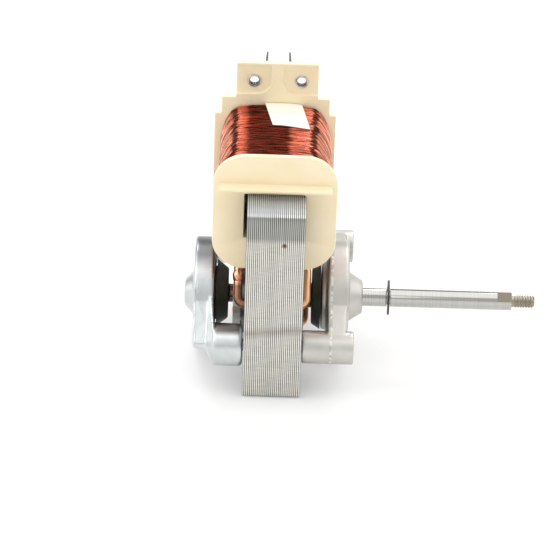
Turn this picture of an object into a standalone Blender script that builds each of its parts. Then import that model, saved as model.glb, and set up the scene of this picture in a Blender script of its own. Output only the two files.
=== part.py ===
"""Oven fan motor: a shaded-pole induction motor with a U-shaped laminated stator,
a moulded bobbin on the core bar, a skewed squirrel-cage rotor and die-cast bearing brackets.

X runs along the shaft towards its driven end and Z is up. The origin is in the middle of the
stack's base, on which the motor stands. The pieces are drawn from the shaft axis, which lies
STACK_BASE above the origin. Lengths are in metres.
"""

import bpy
import bmesh
from math import atan2, cos, hypot, pi, radians, sin, tan
from mathutils import Matrix, Vector

# Clearances
FIT_GAP = 0.0003
AIR_GAP = 0.0004
BEARING_GAP = 0.0003

# Lamination stack, an outline in Y and Z extruded along X
STACK_THICKNESS = 0.0186
STACK_WIDTH = 0.0628
STACK_BASE = 0.0200
LEG_TOP = 0.0480
LEG_CORNER = 0.0040
FOOT_CORNER = 0.0042
WINDOW_HALF = 0.0193
WINDOW_FLOOR = 0.0199
BRIDGE = 0.0019
BRIDGE_NOTCH_HALF = 0.0024
BASE_SLOT = 0.0028
LEG_STEP_Z = 0.0376
LEG_STEP = 0.0008

# Core bar and the dovetail that locks each of its ends into a leg
BAR_HEIGHT = 0.0155
DOVETAIL_DEPTH = 0.0042
DOVETAIL_NECK = 0.0052
DOVETAIL_HEAD = 0.0078

# Rotor with its squirrel cage
ROTOR_RADIUS = 0.01285
ROTOR_START = -0.0103
ROTOR_LENGTH = 0.0174
END_RING_LENGTH = 0.0025
END_RING_INNER = 0.0078
END_RING_OUTER = 0.0123
CAGE_BARS = 14
CAGE_BAR_RADIUS = 0.0010
CAGE_BAR_CIRCLE = 0.0110
CAGE_SKEW = radians(360 / 14)

# Shading rings: closed copper loops round the leading tip of each pole
SHADING_WIRE = 0.0027
SHADING_CIRCLE = 0.0171
SHADING_SLOT_ANGLE = radians(20)
SHADING_TIP_ANGLE = radians(64)
SHADING_REAR_REACH = 0.0040
SHADING_DRIVE_REACH = 0.0024
SHADING_MOUTH = 0.0010

# Shaft
SHAFT_RADIUS = 0.0030
SHAFT_REAR_END = -0.0258
SHAFT_SHOULDER = 0.0779
THREAD_END = 0.0854
THREAD_RADIUS = 0.0021
UNDERCUT_RADIUS = 0.0018
UNDERCUT_LENGTH = 0.0011
SEAT_FILLET = 0.00035
FLAT_LENGTH = 0.0047
FLAT_DEPTH = 0.0006
FLAT_ELEVATION = radians(62)
RING_X = 0.0376
RING_THICKNESS = 0.0006
RING_RADIUS = 0.0057
RING_GROOVE_RADIUS = 0.0024

# Bobbin moulded round the core bar
BOBBIN_SHIFT = -0.0003
BOBBIN_WALL = 0.0010
BORE_CLEARANCE = 0.00045
FLANGE_OUTER_Y = 0.0190
FLANGE_THICKNESS = 0.0017
FLANGE_WIDTH = 0.0395
FLANGE_BOTTOM = 0.0208
FLANGE_TOP = 0.0628
FLANGE_CORNER = 0.0105
REAR_FLANGE_TOP = 0.0634
REAR_FLANGE_STEP_Z = 0.0578
REAR_FLANGE_TOP_WIDTH = 0.0350
LEDGE_WIDTH = 0.0360
LEDGE_REACH = 0.0038
LEDGE_TOP = 0.0519
LEDGE_THICKNESS = 0.0011

# Terminal plate on the rear flange
PLATE_SHIFT = -0.0004
PLATE_WIDTH = 0.0260
PLATE_TOP = 0.0760
PLATE_THICKNESS = 0.0019
POCKET_DEPTH = 0.0005
POCKET_RIB = 0.0037
POCKET_FOOT_Z = 0.0648
POCKET_RIM = 0.0009
POCKET_ARC = 0.0044
EYELET_SPACING = 0.0152
EYELET_DROP = 0.0068
EYELET_Z = PLATE_TOP - EYELET_DROP
EYELET_RIM_RADIUS = 0.0022
EYELET_SHANK_RADIUS = 0.0017
EYELET_HOLE_RADIUS = 0.0014
BLADE_SPACING = 0.0080
BLADE_THICKNESS = 0.0006
BLADE_WIDTH = 0.0048
BLADE_RISE = 0.0046
BLADE_TOP = PLATE_TOP + BLADE_RISE
BLADE_BEND_DROP = 0.0040
BLADE_LEAN = radians(6.5)
LUG_HALF = 0.0030
BLOCK_REACH = 0.0058

# Winding and the paper slip on it
WINDING_WIDTH = 0.0362
WINDING_TOP = 0.0607
WINDING_BOTTOM = 0.0228
WINDING_FLAT = 0.0262
PAPER_THICKNESS = 0.0003
PAPER_LEFT = -0.0046
PAPER_WIDTH = 0.0119
PAPER_LENGTH = 0.0150
PAPER_SLANT = 0.0026
PAPER_SKEW = 0.0012

# Die-cast bearing brackets
DISC_RADIUS = 0.0183
DRIVE_PLATE_INNER = 0.0181
DRIVE_PLATE_OUTER = 0.0244
DRIVE_HUB_END = 0.0291
DRIVE_HUB_RADIUS = 0.0080
DRIVE_NOSE_RADIUS = 0.0052
REAR_PLATE_INNER = -0.0193
REAR_PLATE_OUTER = -0.0259
REAR_HUB_END = -0.0292
REAR_HUB_RADIUS = 0.0072
REAR_NOSE_RADIUS = 0.0041
DRIVE_BOSS_RADIUS = 0.00535
DRIVE_BOSS_END = 0.0262
REAR_BOSS_RADIUS = 0.0069
BOSS_INSET = 0.0064
BOSS_Y = STACK_WIDTH / 2 - BOSS_INSET
BOSS_Z = 0.0043
HOUSING_RADIUS = 0.0110
DRIVE_HOUSING_END = 0.0157
REAR_HOUSING_END = -0.0188

# Self-aligning bearings, oil felts, retainers and thrust parts
BEARING_RADIUS = 0.0056
BEARING_LENGTH = 0.0076
DRIVE_BEARING_X = 0.0206
REAR_BEARING_X = -0.0212
FELT_RADIUS = 0.0088
FELT_REACH = 0.0009
DRIVE_FELT_SETBACK = 0.0042
REAR_FELT_SETBACK = 0.0032
RETAINER_WALL = 0.0008
RETAINER_HOLE = 0.0048
DRIVE_RETAINER_FACE = 0.0125
DRIVE_RETAINER_RADIUS = 0.0092
REAR_RETAINER_FACE = -0.01465
REAR_RETAINER_RADIUS = 0.0081
SPACER_RADIUS = 0.0040
SPACER_START = 0.0099
SPACER_END = 0.0138
WASHER_RADIUS = 0.0050
WASHER_THICKNESS = 0.0007

# Through screws and the tapped mounting holes in the drive bosses
SCREW_RADIUS = 0.0020
SCREW_HEAD_RADIUS = 0.0036
SCREW_HEAD_LENGTH = 0.0024
SCREW_TIP_X = 0.0190
SCREW_HEAD_X = -0.0128
MOUNT_HOLE_RADIUS = 0.0016
MOUNT_HOLE_DEPTH = 0.0052

# Sides of the round pieces
ROUND = 32
ROUND_BORE = 60
ROUND_SMALL = 20


def clear_scene():
    for obj in list(bpy.data.objects):
        bpy.data.objects.remove(obj, do_unlink=True)


def material(name, colour, roughness, metallic=0.0):
    found = bpy.data.materials.get(name)
    if found:
        return found
    mat = bpy.data.materials.new(name)
    mat.use_nodes = True
    shader = mat.node_tree.nodes["Principled BSDF"]
    shader.inputs["Base Color"].default_value = (*colour, 1.0)
    shader.inputs["Roughness"].default_value = roughness
    shader.inputs["Metallic"].default_value = metallic
    mat.diffuse_color = (*colour, 1.0)
    return mat


def electrical_steel():
    return material("electrical_steel", (0.58, 0.58, 0.55), 0.42, 1.0)


def moulded_ivory():
    return material("moulded_ivory", (0.84, 0.74, 0.54), 0.45)


def cast_zinc():
    return material("cast_zinc", (0.62, 0.63, 0.62), 0.38, 1.0)


def ground_steel():
    return material("ground_steel", (0.55, 0.55, 0.54), 0.22, 1.0)


def black_steel():
    return material("black_steel", (0.03, 0.03, 0.03), 0.45, 0.3)


def bare_copper():
    return material("bare_copper", (0.80, 0.38, 0.22), 0.32, 1.0)


def cast_aluminium():
    return material("cast_aluminium", (0.70, 0.71, 0.72), 0.35, 1.0)


def mesh_object(name, bm, mat, smooth_angle=None, location=(0.0, 0.0, 0.0)):
    """Turns a bmesh into an object with outward faces."""
    bmesh.ops.recalc_face_normals(bm, faces=bm.faces)
    mesh = bpy.data.meshes.new(name)
    bm.to_mesh(mesh)
    bm.free()
    mesh.materials.append(mat)
    if smooth_angle is not None:
        mesh.shade_smooth()
        mesh.set_sharp_from_angle(angle=smooth_angle)
    obj = bpy.data.objects.new(name, mesh)
    obj.location = location
    bpy.context.scene.collection.objects.link(obj)
    return obj


def join_into(bm, other):
    """Adds the faces of another bmesh to this one."""
    mesh = bpy.data.meshes.new("part_of_piece")
    other.to_mesh(mesh)
    other.free()
    bm.from_mesh(mesh)
    bpy.data.meshes.remove(mesh)
    return bm


def cut(obj, bm, operation="DIFFERENCE"):
    """Adds a Boolean with a hidden tool, made from the bmesh in the object's own space."""
    tool = mesh_object(obj.name + "_tool", bm, obj.data.materials[0])
    tool.parent = obj
    tool.hide_render = True
    tool.display_type = "WIRE"
    step = obj.modifiers.new("boolean", "BOOLEAN")
    step.operation = operation
    step.solver = "EXACT"
    step.use_self = True
    step.object = tool
    return obj


def rounded(points, steps=5):
    """Rounds the corners of an outline given as (a, b, radius) points."""
    result = []
    count = len(points)
    for i, (a, b, radius) in enumerate(points):
        here = Vector((a, b))
        if radius <= 0.0:
            result.append((a, b))
            continue
        to_last = (Vector(points[i - 1][:2]) - here).normalized()
        to_next = (Vector(points[(i + 1) % count][:2]) - here).normalized()
        half = to_last.angle(to_next) / 2
        reach = radius / tan(half)
        centre = here + (to_last + to_next).normalized() * (radius / sin(half))
        start = here + to_last * reach - centre
        sweep = (here + to_next * reach - centre).angle_signed(start)
        for k in range(steps + 1):
            turn = sweep * k / steps
            spoke = Matrix.Rotation(turn, 2) @ start
            result.append(tuple(centre + spoke))
    return result


def prism_x(outline, x0, x1):
    """Extrudes an outline of (y, z) points from x0 to x1."""
    bm = bmesh.new()
    face = bm.faces.new([bm.verts.new((x0, y, z)) for y, z in outline])
    grown = bmesh.ops.extrude_face_region(bm, geom=[face])
    moved = [v for v in grown["geom"] if isinstance(v, bmesh.types.BMVert)]
    bmesh.ops.translate(bm, verts=moved, vec=(x1 - x0, 0, 0))
    bmesh.ops.recalc_face_normals(bm, faces=bm.faces)
    return bm


def prism_y(outline, y0, y1):
    """Extrudes an outline of (x, z) points from y0 to y1."""
    bm = bmesh.new()
    face = bm.faces.new([bm.verts.new((x, y0, z)) for x, z in outline])
    grown = bmesh.ops.extrude_face_region(bm, geom=[face])
    moved = [v for v in grown["geom"] if isinstance(v, bmesh.types.BMVert)]
    bmesh.ops.translate(bm, verts=moved, vec=(0, y1 - y0, 0))
    bmesh.ops.recalc_face_normals(bm, faces=bm.faces)
    return bm


def turned(profile, segments=ROUND, start=0.0):
    """Turns a closed profile of (x, radius) points about the X axis."""
    bm = bmesh.new()
    rings = []
    for x, radius in profile:
        if radius == 0.0:
            rings.append([bm.verts.new((x, 0, 0))])
            continue
        ring = []
        for k in range(segments):
            angle = start + 2 * pi * k / segments
            ring.append(bm.verts.new((x, radius * cos(angle), radius * sin(angle))))
        rings.append(ring)
    for a, b in zip(rings, rings[1:] + rings[:1]):
        if len(a) == 1 and len(b) == 1:
            continue
        for k in range(segments):
            m = (k + 1) % segments
            corners = [a[k % len(a)], a[m % len(a)], b[m % len(b)], b[k % len(b)]]
            bm.faces.new(list(dict.fromkeys(corners)))
    bmesh.ops.recalc_face_normals(bm, faces=bm.faces)
    return bm


def moved(bm, x=0.0, y=0.0, z=0.0):
    bmesh.ops.translate(bm, verts=bm.verts, vec=(x, y, z))
    return bm


def tube_x(x0, x1, outer, inner=0.0, segments=ROUND):
    return turned([(x0, inner), (x0, outer), (x1, outer), (x1, inner)], segments)


def rectangle(a0, a1, b0, b1, radius=0.0):
    return [(a0, b0, radius), (a1, b0, radius), (a1, b1, radius), (a0, b1, radius)]


def rod_between(p0, p1, radius, segments=10):
    """A round bar between two points."""
    along = Vector(p1) - Vector(p0)
    bm = tube_x(0.0, along.length, radius, 0.0, segments)
    turn = Vector((1, 0, 0)).rotation_difference(along).to_matrix().to_4x4()
    bmesh.ops.transform(bm, verts=bm.verts, matrix=Matrix.Translation(p0) @ turn)
    return bm


def swept_loop(path, radius, segments=10):
    """A round wire along a closed path that lies in one plane."""
    bm = bmesh.new()
    count = len(path)
    normal = (path[1] - path[0]).cross(path[count // 3] - path[0]).normalized()
    rings = []
    for i, point in enumerate(path):
        before = (point - path[i - 1]).normalized()
        after = (path[(i + 1) % count] - point).normalized()
        along = (before + after).normalized()
        side = along.cross(normal).normalized()
        widen = 1 / max(0.5, along.dot(after))
        ring = []
        for k in range(segments):
            angle = 2 * pi * k / segments
            offset = side * (cos(angle) * radius * widen) + normal * (sin(angle) * radius)
            ring.append(bm.verts.new(point + offset))
        rings.append(ring)
    for a, b in zip(rings, rings[1:] + rings[:1]):
        for k in range(segments):
            m = (k + 1) % segments
            bm.faces.new((a[k], a[m], b[m], b[k]))
    bmesh.ops.recalc_face_normals(bm, faces=bm.faces)
    return bm


# Stator iron

def bar_centre():
    return LEG_TOP - BAR_HEIGHT / 2


def dovetail(edge_y, gap):
    """Half-profile of the dovetail in +Y, from below to above, shrunk by gap."""
    z = bar_centre()
    neck = DOVETAIL_NECK / 2 - gap
    head = DOVETAIL_HEAD / 2 - gap
    tip = WINDOW_HALF + DOVETAIL_DEPTH - gap
    return [(edge_y, z - neck, 0), (tip, z - head, 0), (tip, z + head, 0), (edge_y, z + neck, 0)]


def yoke_half():
    """Right half of the yoke outline, from the window floor round to the base."""
    outer = STACK_WIDTH / 2
    return [
        (BRIDGE_NOTCH_HALF, WINDOW_FLOOR, 0.0005),
        (WINDOW_HALF, WINDOW_FLOOR, 0.0008),
        *dovetail(WINDOW_HALF, 0.0),
        (WINDOW_HALF, LEG_TOP, 0.0005),
        (outer - LEG_STEP, LEG_TOP, LEG_CORNER),
        (outer - LEG_STEP, LEG_STEP_Z, 0.0030),
        (outer, 0.0080, 0.0030),
        (outer - 0.0001, 0.0028, 0.0030),
        (outer + 0.0002, -0.0140, 0.0020),
        (outer - 0.0003, -STACK_BASE, FOOT_CORNER),
    ]


def mirrored(half):
    """Closes an outline with its mirror image across the first coordinate."""
    return half + [(-a, b, r) for a, b, r in reversed(half)]


def bore_radius():
    return (ROTOR_RADIUS + AIR_GAP) / cos(pi / ROUND_BORE)


def shading_points(side):
    """Centres of the two slots of one pole's shading ring; side is -1 front, +1 rear."""
    places = []
    for angle in (SHADING_SLOT_ANGLE, SHADING_TIP_ANGLE):
        y = side * SHADING_CIRCLE * cos(angle)
        z = -side * SHADING_CIRCLE * sin(angle)
        places.append((y, z))
    return places


def boss_place(side):
    """Screw axis; side is -1 for the low front one and +1 for the high rear one."""
    return side * BOSS_Y, side * BOSS_Z


def make_yoke():
    top_notch = [(BRIDGE_NOTCH_HALF, bore_radius() + BRIDGE, 0.0010)]
    outline = rounded(mirrored(top_notch + yoke_half()), 4)
    half = STACK_THICKNESS / 2
    yoke = mesh_object("stator_yoke", prism_x(outline, -half, half), electrical_steel())
    over = half + 0.002
    tools = tube_x(-over, over, bore_radius(), 0.0, ROUND_BORE)
    for side in (-1, 1):
        slot, tip = shading_points(side)
        hole = SHADING_WIRE / 2 + FIT_GAP
        join_into(tools, moved(tube_x(-over, over, hole, 0.0, ROUND_SMALL), 0, *tip))
        mouth = tube_x(-over, over, hole, 0.0, ROUND_SMALL)
        join_into(tools, moved(mouth, 0, *slot))
        y, z = boss_place(side)
        join_into(tools, moved(tube_x(-over, over, SCREW_RADIUS + FIT_GAP, 0.0, ROUND_SMALL), 0, y, z))
    slot_top = -bore_radius() - BRIDGE
    slot = rectangle(-BRIDGE_NOTCH_HALF, BRIDGE_NOTCH_HALF, slot_top - BASE_SLOT, slot_top, BASE_SLOT * 0.45)
    join_into(tools, prism_x(rounded(slot, 4), -over, over))
    cut(yoke, tools)
    slits = bmesh.new()
    for side in (-1, 1):
        slot = shading_points(side)[0]
        reach = hypot(*slot)
        inner = bore_radius() - 0.001
        ends = rectangle(inner, reach, -SHADING_MOUTH / 2, SHADING_MOUTH / 2)
        slit = prism_x([(a, b) for a, b, r in ends], -over, over)
        bmesh.ops.rotate(slit, verts=slit.verts, matrix=Matrix.Rotation(atan2(slot[1], slot[0]), 3, "X"))
        join_into(slits, slit)
    cut(yoke, slits)
    return yoke


def make_core_bar():
    end = WINDOW_HALF - FIT_GAP
    low = LEG_TOP - BAR_HEIGHT
    half = [(end, low, 0.0003), *dovetail(end, FIT_GAP), (end, LEG_TOP, 0.0003)]
    outline = rounded(mirrored(half), 2)
    x = STACK_THICKNESS / 2
    return mesh_object("core_bar", prism_x(outline, -x, x), electrical_steel())


def make_shading_ring(name, side):
    (y0, z0), (y1, z1) = shading_points(side)
    wire = SHADING_WIRE / 2
    rear = -STACK_THICKNESS / 2 - SHADING_REAR_REACH + wire
    drive = STACK_THICKNESS / 2 + SHADING_DRIVE_REACH - wire + 0.0003
    span = hypot(y1 - y0, z1 - z0)
    flat = rounded(rectangle(rear, drive, 0.0, span, wire * 1.25), 4)
    path = []
    for x, along in flat:
        share = along / span
        path.append(Vector((x, y0 + (y1 - y0) * share, z0 + (z1 - z0) * share)))
    return mesh_object(name, swept_loop(path, wire, 10), bare_copper(), radians(50))


# Bobbin, winding and terminals

def bore_half_width():
    return STACK_THICKNESS / 2 + BORE_CLEARANCE


def bore_low():
    return LEG_TOP - BAR_HEIGHT - FIT_GAP


def bore_high():
    return LEG_TOP + FIT_GAP


def front_flange_outline():
    w = FLANGE_WIDTH / 2
    return rounded(rectangle(-w, w, FLANGE_BOTTOM, FLANGE_TOP, FLANGE_CORNER), 8)


def rear_flange_outline():
    w = FLANGE_WIDTH / 2
    t = REAR_FLANGE_TOP_WIDTH / 2
    points = [
        (-w, FLANGE_BOTTOM, FLANGE_CORNER),
        (w, FLANGE_BOTTOM, FLANGE_CORNER),
        (w, REAR_FLANGE_STEP_Z, 0.0006),
        (t, REAR_FLANGE_STEP_Z, 0.0004),
        (t, REAR_FLANGE_TOP, 0.0006),
        (-t, REAR_FLANGE_TOP, 0.0006),
        (-t, REAR_FLANGE_STEP_Z, 0.0004),
        (-w, REAR_FLANGE_STEP_Z, 0.0006),
    ]
    return rounded(points, 6)


def rear_flange_inner():
    return FLANGE_OUTER_Y - FLANGE_THICKNESS


def pocket_outline(side):
    """Shallow pocket beside the central rib, open at the plate's outer edge."""
    edge = PLATE_WIDTH / 2 + 0.001
    rib = POCKET_RIB / 2
    top = PLATE_TOP - POCKET_RIM
    points = [
        (side * edge, POCKET_FOOT_Z, 0.0),
        (side * edge, top, 0.0),
        (side * rib, top, 0.0003),
        (side * rib, POCKET_FOOT_Z, POCKET_ARC),
    ]
    return rounded(points, 6)


def plate_front_y():
    return rear_flange_inner()


def make_bobbin():
    outer_x = bore_half_width() + BOBBIN_WALL
    low = bore_low() - BOBBIN_WALL
    high = bore_high() + BOBBIN_WALL
    inside = FLANGE_OUTER_Y - FLANGE_THICKNESS / 2
    sleeve = rounded(rectangle(-outer_x, outer_x, low, high, 0.0008), 3)
    bobbin = mesh_object("bobbin", prism_y(sleeve, -inside, inside), moulded_ivory())
    front_y = -FLANGE_OUTER_Y
    parts = prism_y(front_flange_outline(), front_y, front_y + FLANGE_THICKNESS)
    join_into(parts, prism_y(rear_flange_outline(), rear_flange_inner(), FLANGE_OUTER_Y))
    plate = [
        (PLATE_SHIFT - PLATE_WIDTH / 2, REAR_FLANGE_TOP - 0.003, 0.0),
        (PLATE_SHIFT + PLATE_WIDTH / 2, REAR_FLANGE_TOP - 0.003, 0.0),
        (PLATE_SHIFT + PLATE_WIDTH / 2, PLATE_TOP, 0.0009),
        (PLATE_SHIFT - PLATE_WIDTH / 2, PLATE_TOP, 0.0004),
    ]
    y = plate_front_y()
    join_into(parts, prism_y(rounded(plate, 3), y, y + PLATE_THICKNESS))
    half = LEDGE_WIDTH / 2
    ledge = rounded(
        [
            (front_y + 0.0008, LEDGE_TOP - LEDGE_THICKNESS, 0.0),
            (front_y + 0.0008, LEDGE_TOP, 0.0),
            (front_y - LEDGE_REACH, LEDGE_TOP, 0.0004),
            (front_y - LEDGE_REACH, LEDGE_TOP - LEDGE_THICKNESS, 0.0003),
        ],
        3,
    )
    join_into(parts, prism_x(ledge, -half, half))
    block_half = BLADE_SPACING / 2 - BLADE_THICKNESS / 2 - FIT_GAP
    block_y = y + PLATE_THICKNESS - 0.0006
    block = rounded(
        [
            (PLATE_SHIFT - block_half, REAR_FLANGE_TOP + 0.0016, 0.0),
            (PLATE_SHIFT + block_half, REAR_FLANGE_TOP + 0.0016, 0.0),
            (PLATE_SHIFT + block_half - 0.0008, PLATE_TOP - 0.0012, 0.0006),
            (PLATE_SHIFT - block_half + 0.0008, PLATE_TOP - 0.0012, 0.0006),
        ],
        3,
    )
    join_into(parts, prism_y(block, block_y, y + PLATE_THICKNESS + BLOCK_REACH))
    cut(bobbin, parts, "UNION")
    bore = rectangle(-bore_half_width(), bore_half_width(), bore_low(), bore_high())
    over = FLANGE_OUTER_Y + LEDGE_REACH
    tools = prism_y([(a, b) for a, b, r in bore], -over, over)
    for side in (-1, 1):
        pocket = pocket_outline(side)
        pocket_bm = prism_y(pocket, y - 0.001, y + POCKET_DEPTH)
        join_into(tools, moved(pocket_bm, PLATE_SHIFT))
        hole = turned_y(EYELET_SHANK_RADIUS + FIT_GAP, y - 0.002, y + PLATE_THICKNESS + 0.002)
        join_into(tools, moved(hole, PLATE_SHIFT + side * EYELET_SPACING / 2, 0, EYELET_Z))
    cut(bobbin, tools)
    bobbin.location.x = BOBBIN_SHIFT
    return bobbin


def turned_y(radius, y0, y1, segments=ROUND_SMALL):
    bm = tube_x(y0, y1, radius, 0.0, segments)
    bmesh.ops.rotate(bm, verts=bm.verts, matrix=Matrix.Rotation(pi / 2, 3, "Z"))
    return bm


def winding_outline():
    """Outside of the winding across its length: flat top, full rounded shoulders."""
    w = WINDING_WIDTH / 2
    f = WINDING_FLAT / 2
    points = [
        (-f + 0.0010, WINDING_BOTTOM, 0.0030),
        (f - 0.0010, WINDING_BOTTOM, 0.0030),
        (w, WINDING_BOTTOM + 0.0085, 0.0060),
        (w, WINDING_TOP - 0.0075, 0.0060),
        (f, WINDING_TOP, 0.0030),
        (-f, WINDING_TOP, 0.0030),
        (-w, WINDING_TOP - 0.0075, 0.0060),
        (-w, WINDING_BOTTOM + 0.0085, 0.0060),
    ]
    return rounded(points, 4)


def make_winding():
    y0 = -FLANGE_OUTER_Y + FLANGE_THICKNESS + FIT_GAP
    y1 = rear_flange_inner() - FIT_GAP
    copper = material("enamelled_copper", (0.45, 0.09, 0.05), 0.30)
    coil = mesh_object("coil_winding", prism_y(winding_outline(), y0, y1), copper)
    x = bore_half_width() + BOBBIN_WALL + FIT_GAP
    low = bore_low() - BOBBIN_WALL - FIT_GAP
    high = bore_high() + BOBBIN_WALL + FIT_GAP
    eye = [(a, b) for a, b, r in rectangle(-x, x, low, high)]
    cut(coil, prism_y(eye, -FLANGE_OUTER_Y, FLANGE_OUTER_Y))
    coil.location.x = BOBBIN_SHIFT
    return coil


def make_paper():
    """Paper slip laid askew on the winding, against the rear flange."""
    z = WINDING_TOP + FIT_GAP
    rear = rear_flange_inner() - FIT_GAP
    front = rear - PAPER_LENGTH
    right = PAPER_LEFT + PAPER_WIDTH
    corners = [
        (PAPER_LEFT, rear),
        (right, rear),
        (right + PAPER_SLANT, front - PAPER_SKEW),
        (PAPER_LEFT + PAPER_SLANT, front),
    ]
    bm = bmesh.new()
    face = bm.faces.new([bm.verts.new((x, y, z)) for x, y in corners])
    grown = bmesh.ops.extrude_face_region(bm, geom=[face])
    top = [v for v in grown["geom"] if isinstance(v, bmesh.types.BMVert)]
    bmesh.ops.translate(bm, verts=top, vec=(0, 0, PAPER_THICKNESS))
    return mesh_object("winding_paper", bm, material("white_paper", (0.93, 0.93, 0.90), 0.8))


def eyelet_x(side):
    return BOBBIN_SHIFT + PLATE_SHIFT + side * EYELET_SPACING / 2


def lug_front_y():
    return plate_front_y() + PLATE_THICKNESS + FIT_GAP


def make_eyelet(name, side):
    """Tubular rivet through the plate and the terminal's lug, rolled over at both ends."""
    y0 = plate_front_y() + POCKET_DEPTH - FIT_GAP
    y1 = lug_front_y() + BLADE_THICKNESS + FIT_GAP
    rim = 0.0006
    profile = [
        (y0 - rim, EYELET_HOLE_RADIUS + 0.0001),
        (y0 - rim, EYELET_RIM_RADIUS - 0.0004),
        (y0 - rim * 0.6, EYELET_RIM_RADIUS),
        (y0, EYELET_RIM_RADIUS),
        (y0, EYELET_SHANK_RADIUS),
        (y1, EYELET_SHANK_RADIUS),
        (y1, EYELET_RIM_RADIUS),
        (y1 + rim * 0.6, EYELET_RIM_RADIUS),
        (y1 + rim, EYELET_RIM_RADIUS - 0.0004),
        (y1 + rim, EYELET_HOLE_RADIUS + 0.0001),
        (y1, EYELET_HOLE_RADIUS),
        (y0, EYELET_HOLE_RADIUS),
    ]
    bm = turned(profile, ROUND_SMALL)
    bmesh.ops.rotate(bm, verts=bm.verts, matrix=Matrix.Rotation(pi / 2, 3, "Z"))
    tinned = material("tinned_brass", (0.75, 0.74, 0.70), 0.2, 1.0)
    return mesh_object(name, bm, tinned, radians(40), (eyelet_x(side), 0, EYELET_Z))


def make_terminal(name, side):
    """Strip with a lug under the eyelet, folded back and up into a blade."""
    t = BLADE_THICKNESS
    foot_x = BOBBIN_SHIFT + PLATE_SHIFT + side * BLADE_SPACING / 2
    y0 = lug_front_y()
    tinned = material("tinned_brass", (0.75, 0.74, 0.70), 0.2, 1.0)
    far = eyelet_x(side) + side * LUG_HALF
    inner = foot_x - side * t / 2
    a, b = min(inner, far), max(inner, far)
    lug = rounded(rectangle(a, b, EYELET_Z - LUG_HALF, EYELET_Z + LUG_HALF, 0.0), 2)
    strip = mesh_object(name, prism_y(lug, y0, y0 + t), tinned)
    low = EYELET_Z - LUG_HALF
    bend_z = PLATE_TOP - BLADE_BEND_DROP
    blade = rounded(
        [
            (y0 + t * 0.5, low, 0.0),
            (y0 + BLADE_WIDTH, low, 0.0),
            (y0 + BLADE_WIDTH, BLADE_TOP, 0.0009),
            (y0, BLADE_TOP, 0.0009),
            (y0, bend_z, 0.0),
            (y0 + t * 0.5, bend_z, 0.0),
        ],
        3,
    )
    bm = prism_x(blade, -t / 2, t / 2)
    bmesh.ops.bisect_plane(
        bm, geom=bm.verts[:] + bm.edges[:] + bm.faces[:],
        plane_co=(0, 0, bend_z), plane_no=(0, 0, 1),
    )
    for v in bm.verts:
        rise = max(0.0, v.co.z - bend_z)
        v.co.x += foot_x - side * rise * tan(BLADE_LEAN)
    cut(strip, bm, "UNION")
    hole = turned_y(EYELET_SHANK_RADIUS + FIT_GAP, y0 - 0.001, y0 + 0.002)
    cut(strip, moved(hole, eyelet_x(side), 0, EYELET_Z))
    return strip


# Bearing brackets

def hull(points):
    bm = bmesh.new()
    for point in points:
        bm.verts.new(point)
    result = bmesh.ops.convex_hull(bm, input=bm.verts)
    loose = [g for g in result["geom_interior"] if isinstance(g, bmesh.types.BMVert)]
    bmesh.ops.delete(bm, geom=loose, context="VERTS")
    bmesh.ops.recalc_face_normals(bm, faces=bm.faces)
    return bm


def circle_points(x, y, z, radius, segments=ROUND):
    places = []
    for k in range(segments):
        angle = 2 * pi * k / segments
        places.append((x, y + radius * cos(angle), z + radius * sin(angle)))
    return places


def arm(side, near, far, boss_radius, root):
    """Tapering web from a root inside the disc to a boss; near and far are (x0, x1) spans.

    The root is a list of (along, across) points, measured from the axis towards the boss.
    """
    y, z = boss_place(side)
    out = Vector((y, z)).normalized()
    points = []
    for x in near:
        for along, across in root:
            points.append((x, out.x * along - out.y * across, out.y * along + out.x * across))
    for x in far:
        points += circle_points(x, y, z, boss_radius)
    return hull(points)


def round_root():
    """Root of the drive bracket's webs, a circle towards the boss."""
    return [(a + 0.0070, c) for x, a, c in circle_points(0.0, 0.0, 0.0, 0.0122)]


def strip_root():
    """Root of the rear bracket's webs, a strip outside the retainer."""
    return [(0.0125, 0.0118), (0.0125, -0.0118), (0.0155, 0.0092), (0.0155, -0.0092)]


def hole_along_x(x0, x1, y, z, radius, segments=ROUND_SMALL):
    return moved(tube_x(x0, x1, radius, 0.0, segments), 0, y, z)


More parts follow.
